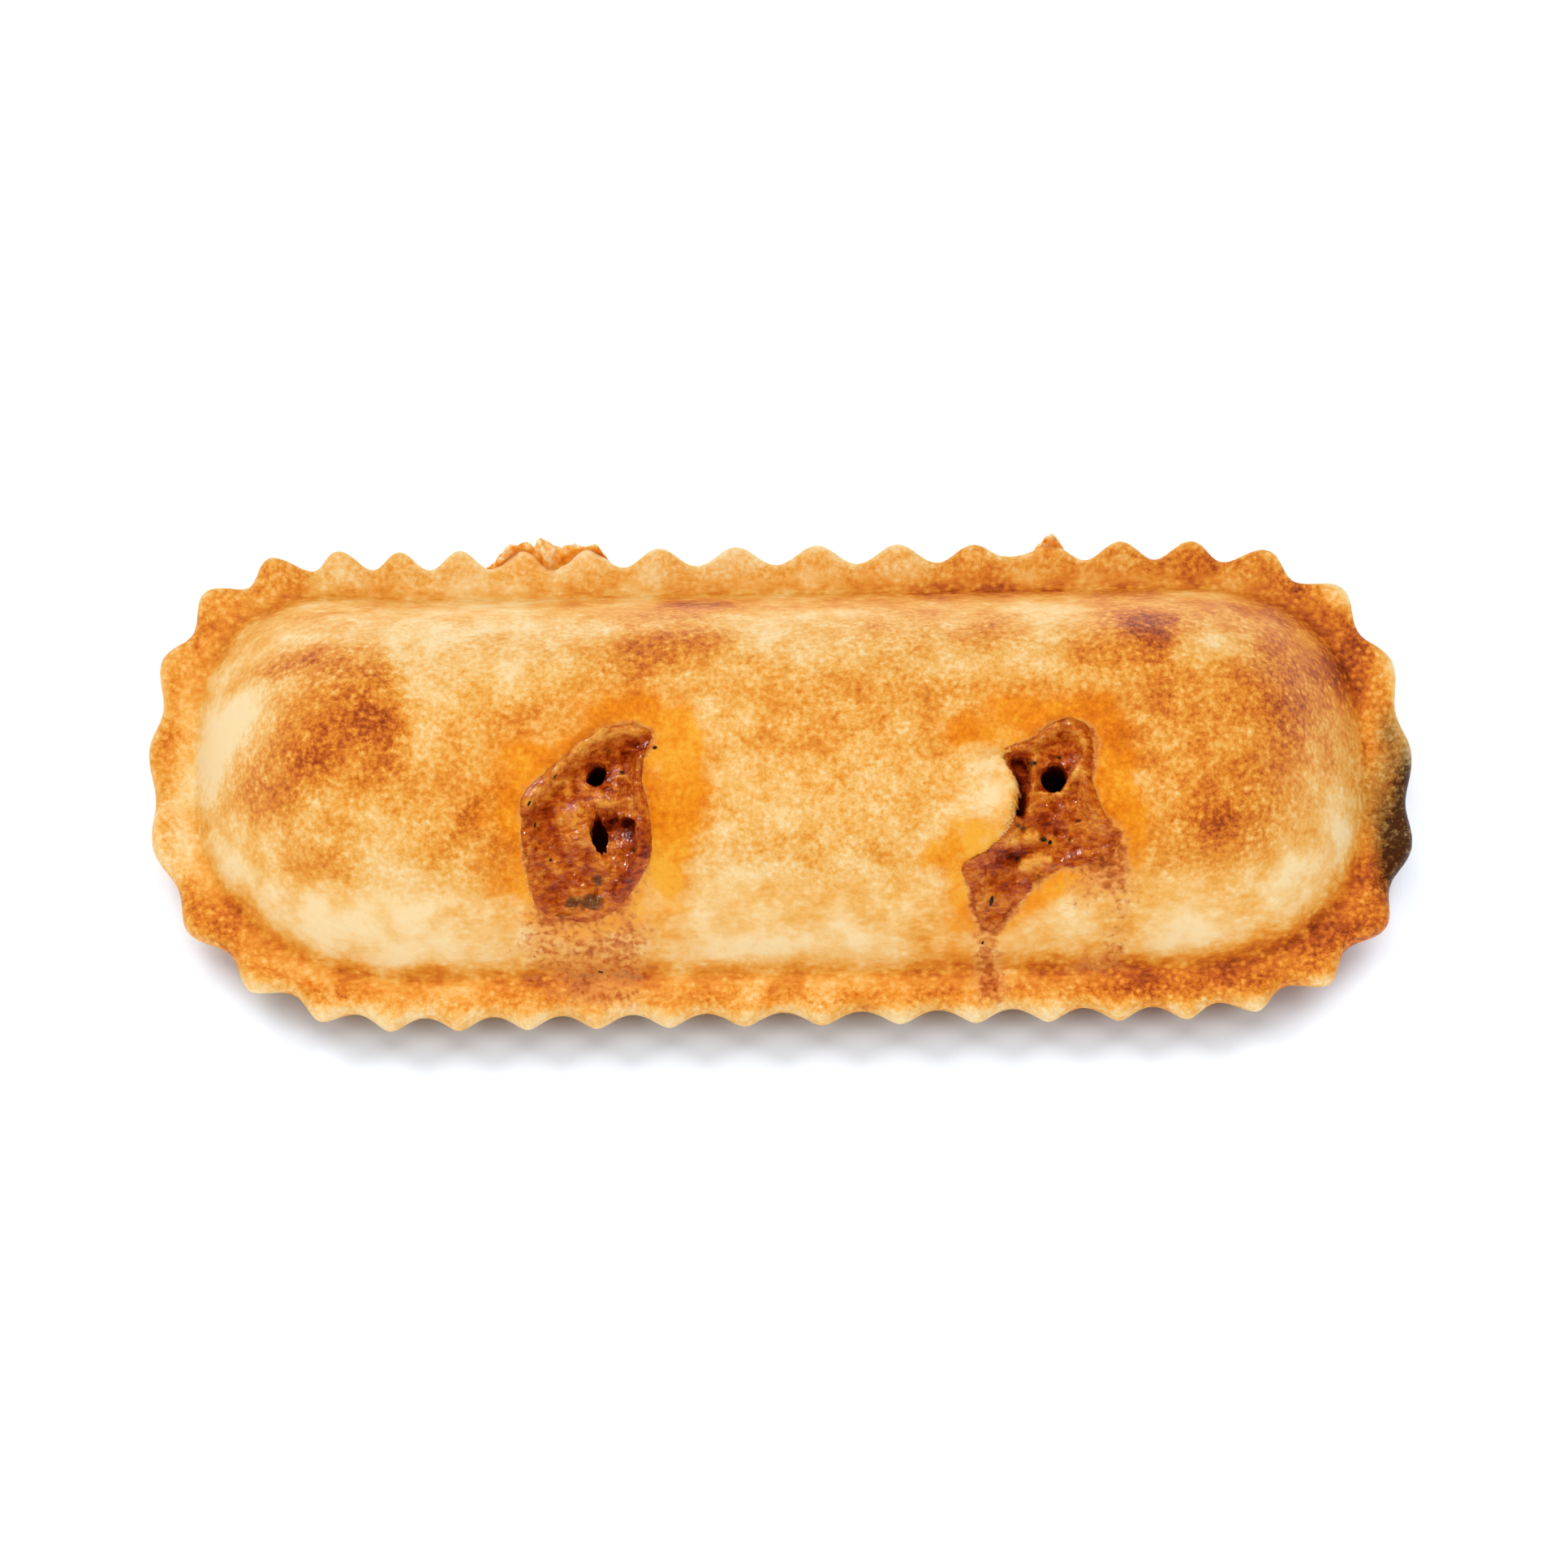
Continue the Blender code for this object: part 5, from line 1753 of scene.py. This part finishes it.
@dataclass(frozen=True)
class Lamp:
    """A round soft lamp aimed at the empanada, in metres and watts.

    Most lamps only light. One also glints, and a card of light for the wet filling only glints.
    """

    name: str
    place: tuple[float, float, float]
    size: float
    power: float
    lit: Lit = Lit.FOOD
    glints: bool = False
    only_glints: bool = False

    def build(self, receivers: bpy.types.Collection) -> None:
        """Adds the lamp to the scene.

        Args:
            receivers: What it lights.
        """
        lamp = bpy.data.lights.new(self.name, "AREA")
        lamp.shape = "DISK"
        lamp.size = self.size
        lamp.energy = self.power
        obj = bpy.data.objects.new(self.name, lamp)
        bpy.context.scene.collection.objects.link(obj)
        obj.light_linking.receiver_collection = receivers
        obj.visible_glossy = self.glints or self.only_glints
        obj.visible_diffuse = not self.only_glints
        place = Vector(self.place)
        obj.location = place
        obj.rotation_euler = (-place).to_track_quat("-Z", "Y").to_euler()


@dataclass
class Studio:
    """The white paper, the soft light and the camera at the photograph's angle."""

    camera_place: tuple[float, float, float] = (-0.00325, -0.22434, 0.6208)
    camera_target: tuple[float, float, float] = (0.00039, -0.00206, 0.010)
    lens: float = 112.0
    sensor: float = 36.0
    clip_start: float = 0.01
    floor_size: float = 6.0
    paper: str = "f0f6ff"
    paper_roughness: float = 0.9
    surround: float = 0.15
    lamps: tuple[Lamp, ...] = (
        Lamp("key_behind_left", (-0.30, 0.62, 1.0), 0.14, 3.2, glints=True),
        Lamp("glint_card_left", (-0.66, 0.60, 0.78), 0.32, 30.0, Lit.FILLING, only_glints=True),
        Lamp("soft_box_overhead", (0.0, 0.75, 1.2), 1.2, 7.5),
        Lamp("soft_box_left", (-1.3, -0.1, 1.0), 1.2, 5.5),
        Lamp("soft_box_right", (1.3, -0.1, 1.0), 1.2, 5.5),
        Lamp("soft_box_front", (0.0, -1.2, 0.9), 1.2, 11.0),
        Lamp("paper_light_overhead", (0.0, 0.6, 1.4), 1.2, 8.0, Lit.PAPER),
        Lamp("paper_light_back_left", (-1.1, 1.25, 0.9), 1.4, 42.0, Lit.PAPER),
        Lamp("paper_light_back_right", (1.1, 1.25, 0.9), 1.4, 42.0, Lit.PAPER),
        Lamp("paper_fill_left", (-1.4, -0.3, 1.0), 1.2, 9.6, Lit.PAPER),
        Lamp("paper_fill_right", (1.4, -0.3, 1.0), 1.2, 9.6, Lit.PAPER),
    )

    def build(self) -> None:
        """Makes the paper, the lights and the camera."""
        food = [obj for obj in bpy.context.scene.objects if obj.type == "MESH"]
        wet = [obj for obj in food if obj.name == FILLING_NAME]
        self._lights({Lit.FOOD: food, Lit.FILLING: wet, Lit.PAPER: [self._floor()]})
        self._camera()

    def _floor(self) -> bpy.types.Object:
        """Makes the sheet of white paper, which isn't part of the empanada."""
        builder = bmesh.new()
        bmesh.ops.create_grid(builder, x_segments=1, y_segments=1, size=0.5 * self.floor_size)
        floor = to_object("studio_floor", builder)
        material = bpy.data.materials.new("matt_white_paper")
        material.use_nodes = True
        set_inputs(material.node_tree.nodes["Principled BSDF"], {
            "Base Color": linear(self.paper),
            "Roughness": self.paper_roughness,
            "Specular IOR Level": 0.0,
        })
        floor.data.materials.append(material)
        return floor

    def _lights(self, receivers: dict[Lit, list[bpy.types.Object]]) -> None:
        """Sets a dim white surround that reflections don't show, and the lamps.

        Args:
            receivers: The objects that each kind of lamp lights.
        """
        scene = bpy.context.scene
        world = bpy.data.worlds.new("white_surround")
        world.use_nodes = True
        background = world.node_tree.nodes["Background"]
        set_inputs(background, {"Color": linear("ffffff"), "Strength": self.surround})
        world.cycles_visibility.glossy = False
        scene.world = world
        groups = {}
        for lit, objects in receivers.items():
            groups[lit] = bpy.data.collections.new(lit.value)
            for obj in objects:
                groups[lit].objects.link(obj)
        for lamp in self.lamps:
            lamp.build(groups[lamp.lit])
        scene.view_settings.view_transform = "Standard"
        scene.view_settings.look = "None"
        scene.view_settings.exposure = 0.0
        scene.view_settings.gamma = 1.0

    def _camera(self) -> None:
        """Sets the camera where the photograph was taken from."""
        camera = bpy.data.cameras.new("camera")
        camera.lens = self.lens
        camera.sensor_width = self.sensor
        camera.clip_start = self.clip_start
        obj = bpy.data.objects.new("camera", camera)
        bpy.context.scene.collection.objects.link(obj)
        place, target = Vector(self.camera_place), Vector(self.camera_target)
        obj.location = place
        obj.rotation_euler = (target - place).to_track_quat("-Z", "Y").to_euler()
        bpy.context.scene.camera = obj


def main() -> None:
    """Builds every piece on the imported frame."""
    logging.basicConfig(level=logging.INFO, format="%(name)s: %(message)s")
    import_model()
    lid = Lid()
    filling = Filling(lid)
    Crust(lid).build()
    filling.build()
    crumbs = CrumblyFilling().material()
    for leak in LEAKS:
        leak.build(lid.plan, crumbs)
    HerbFlecks().build(lid, filling)
    Studio().build()


if __name__ == "__main__":
    main()
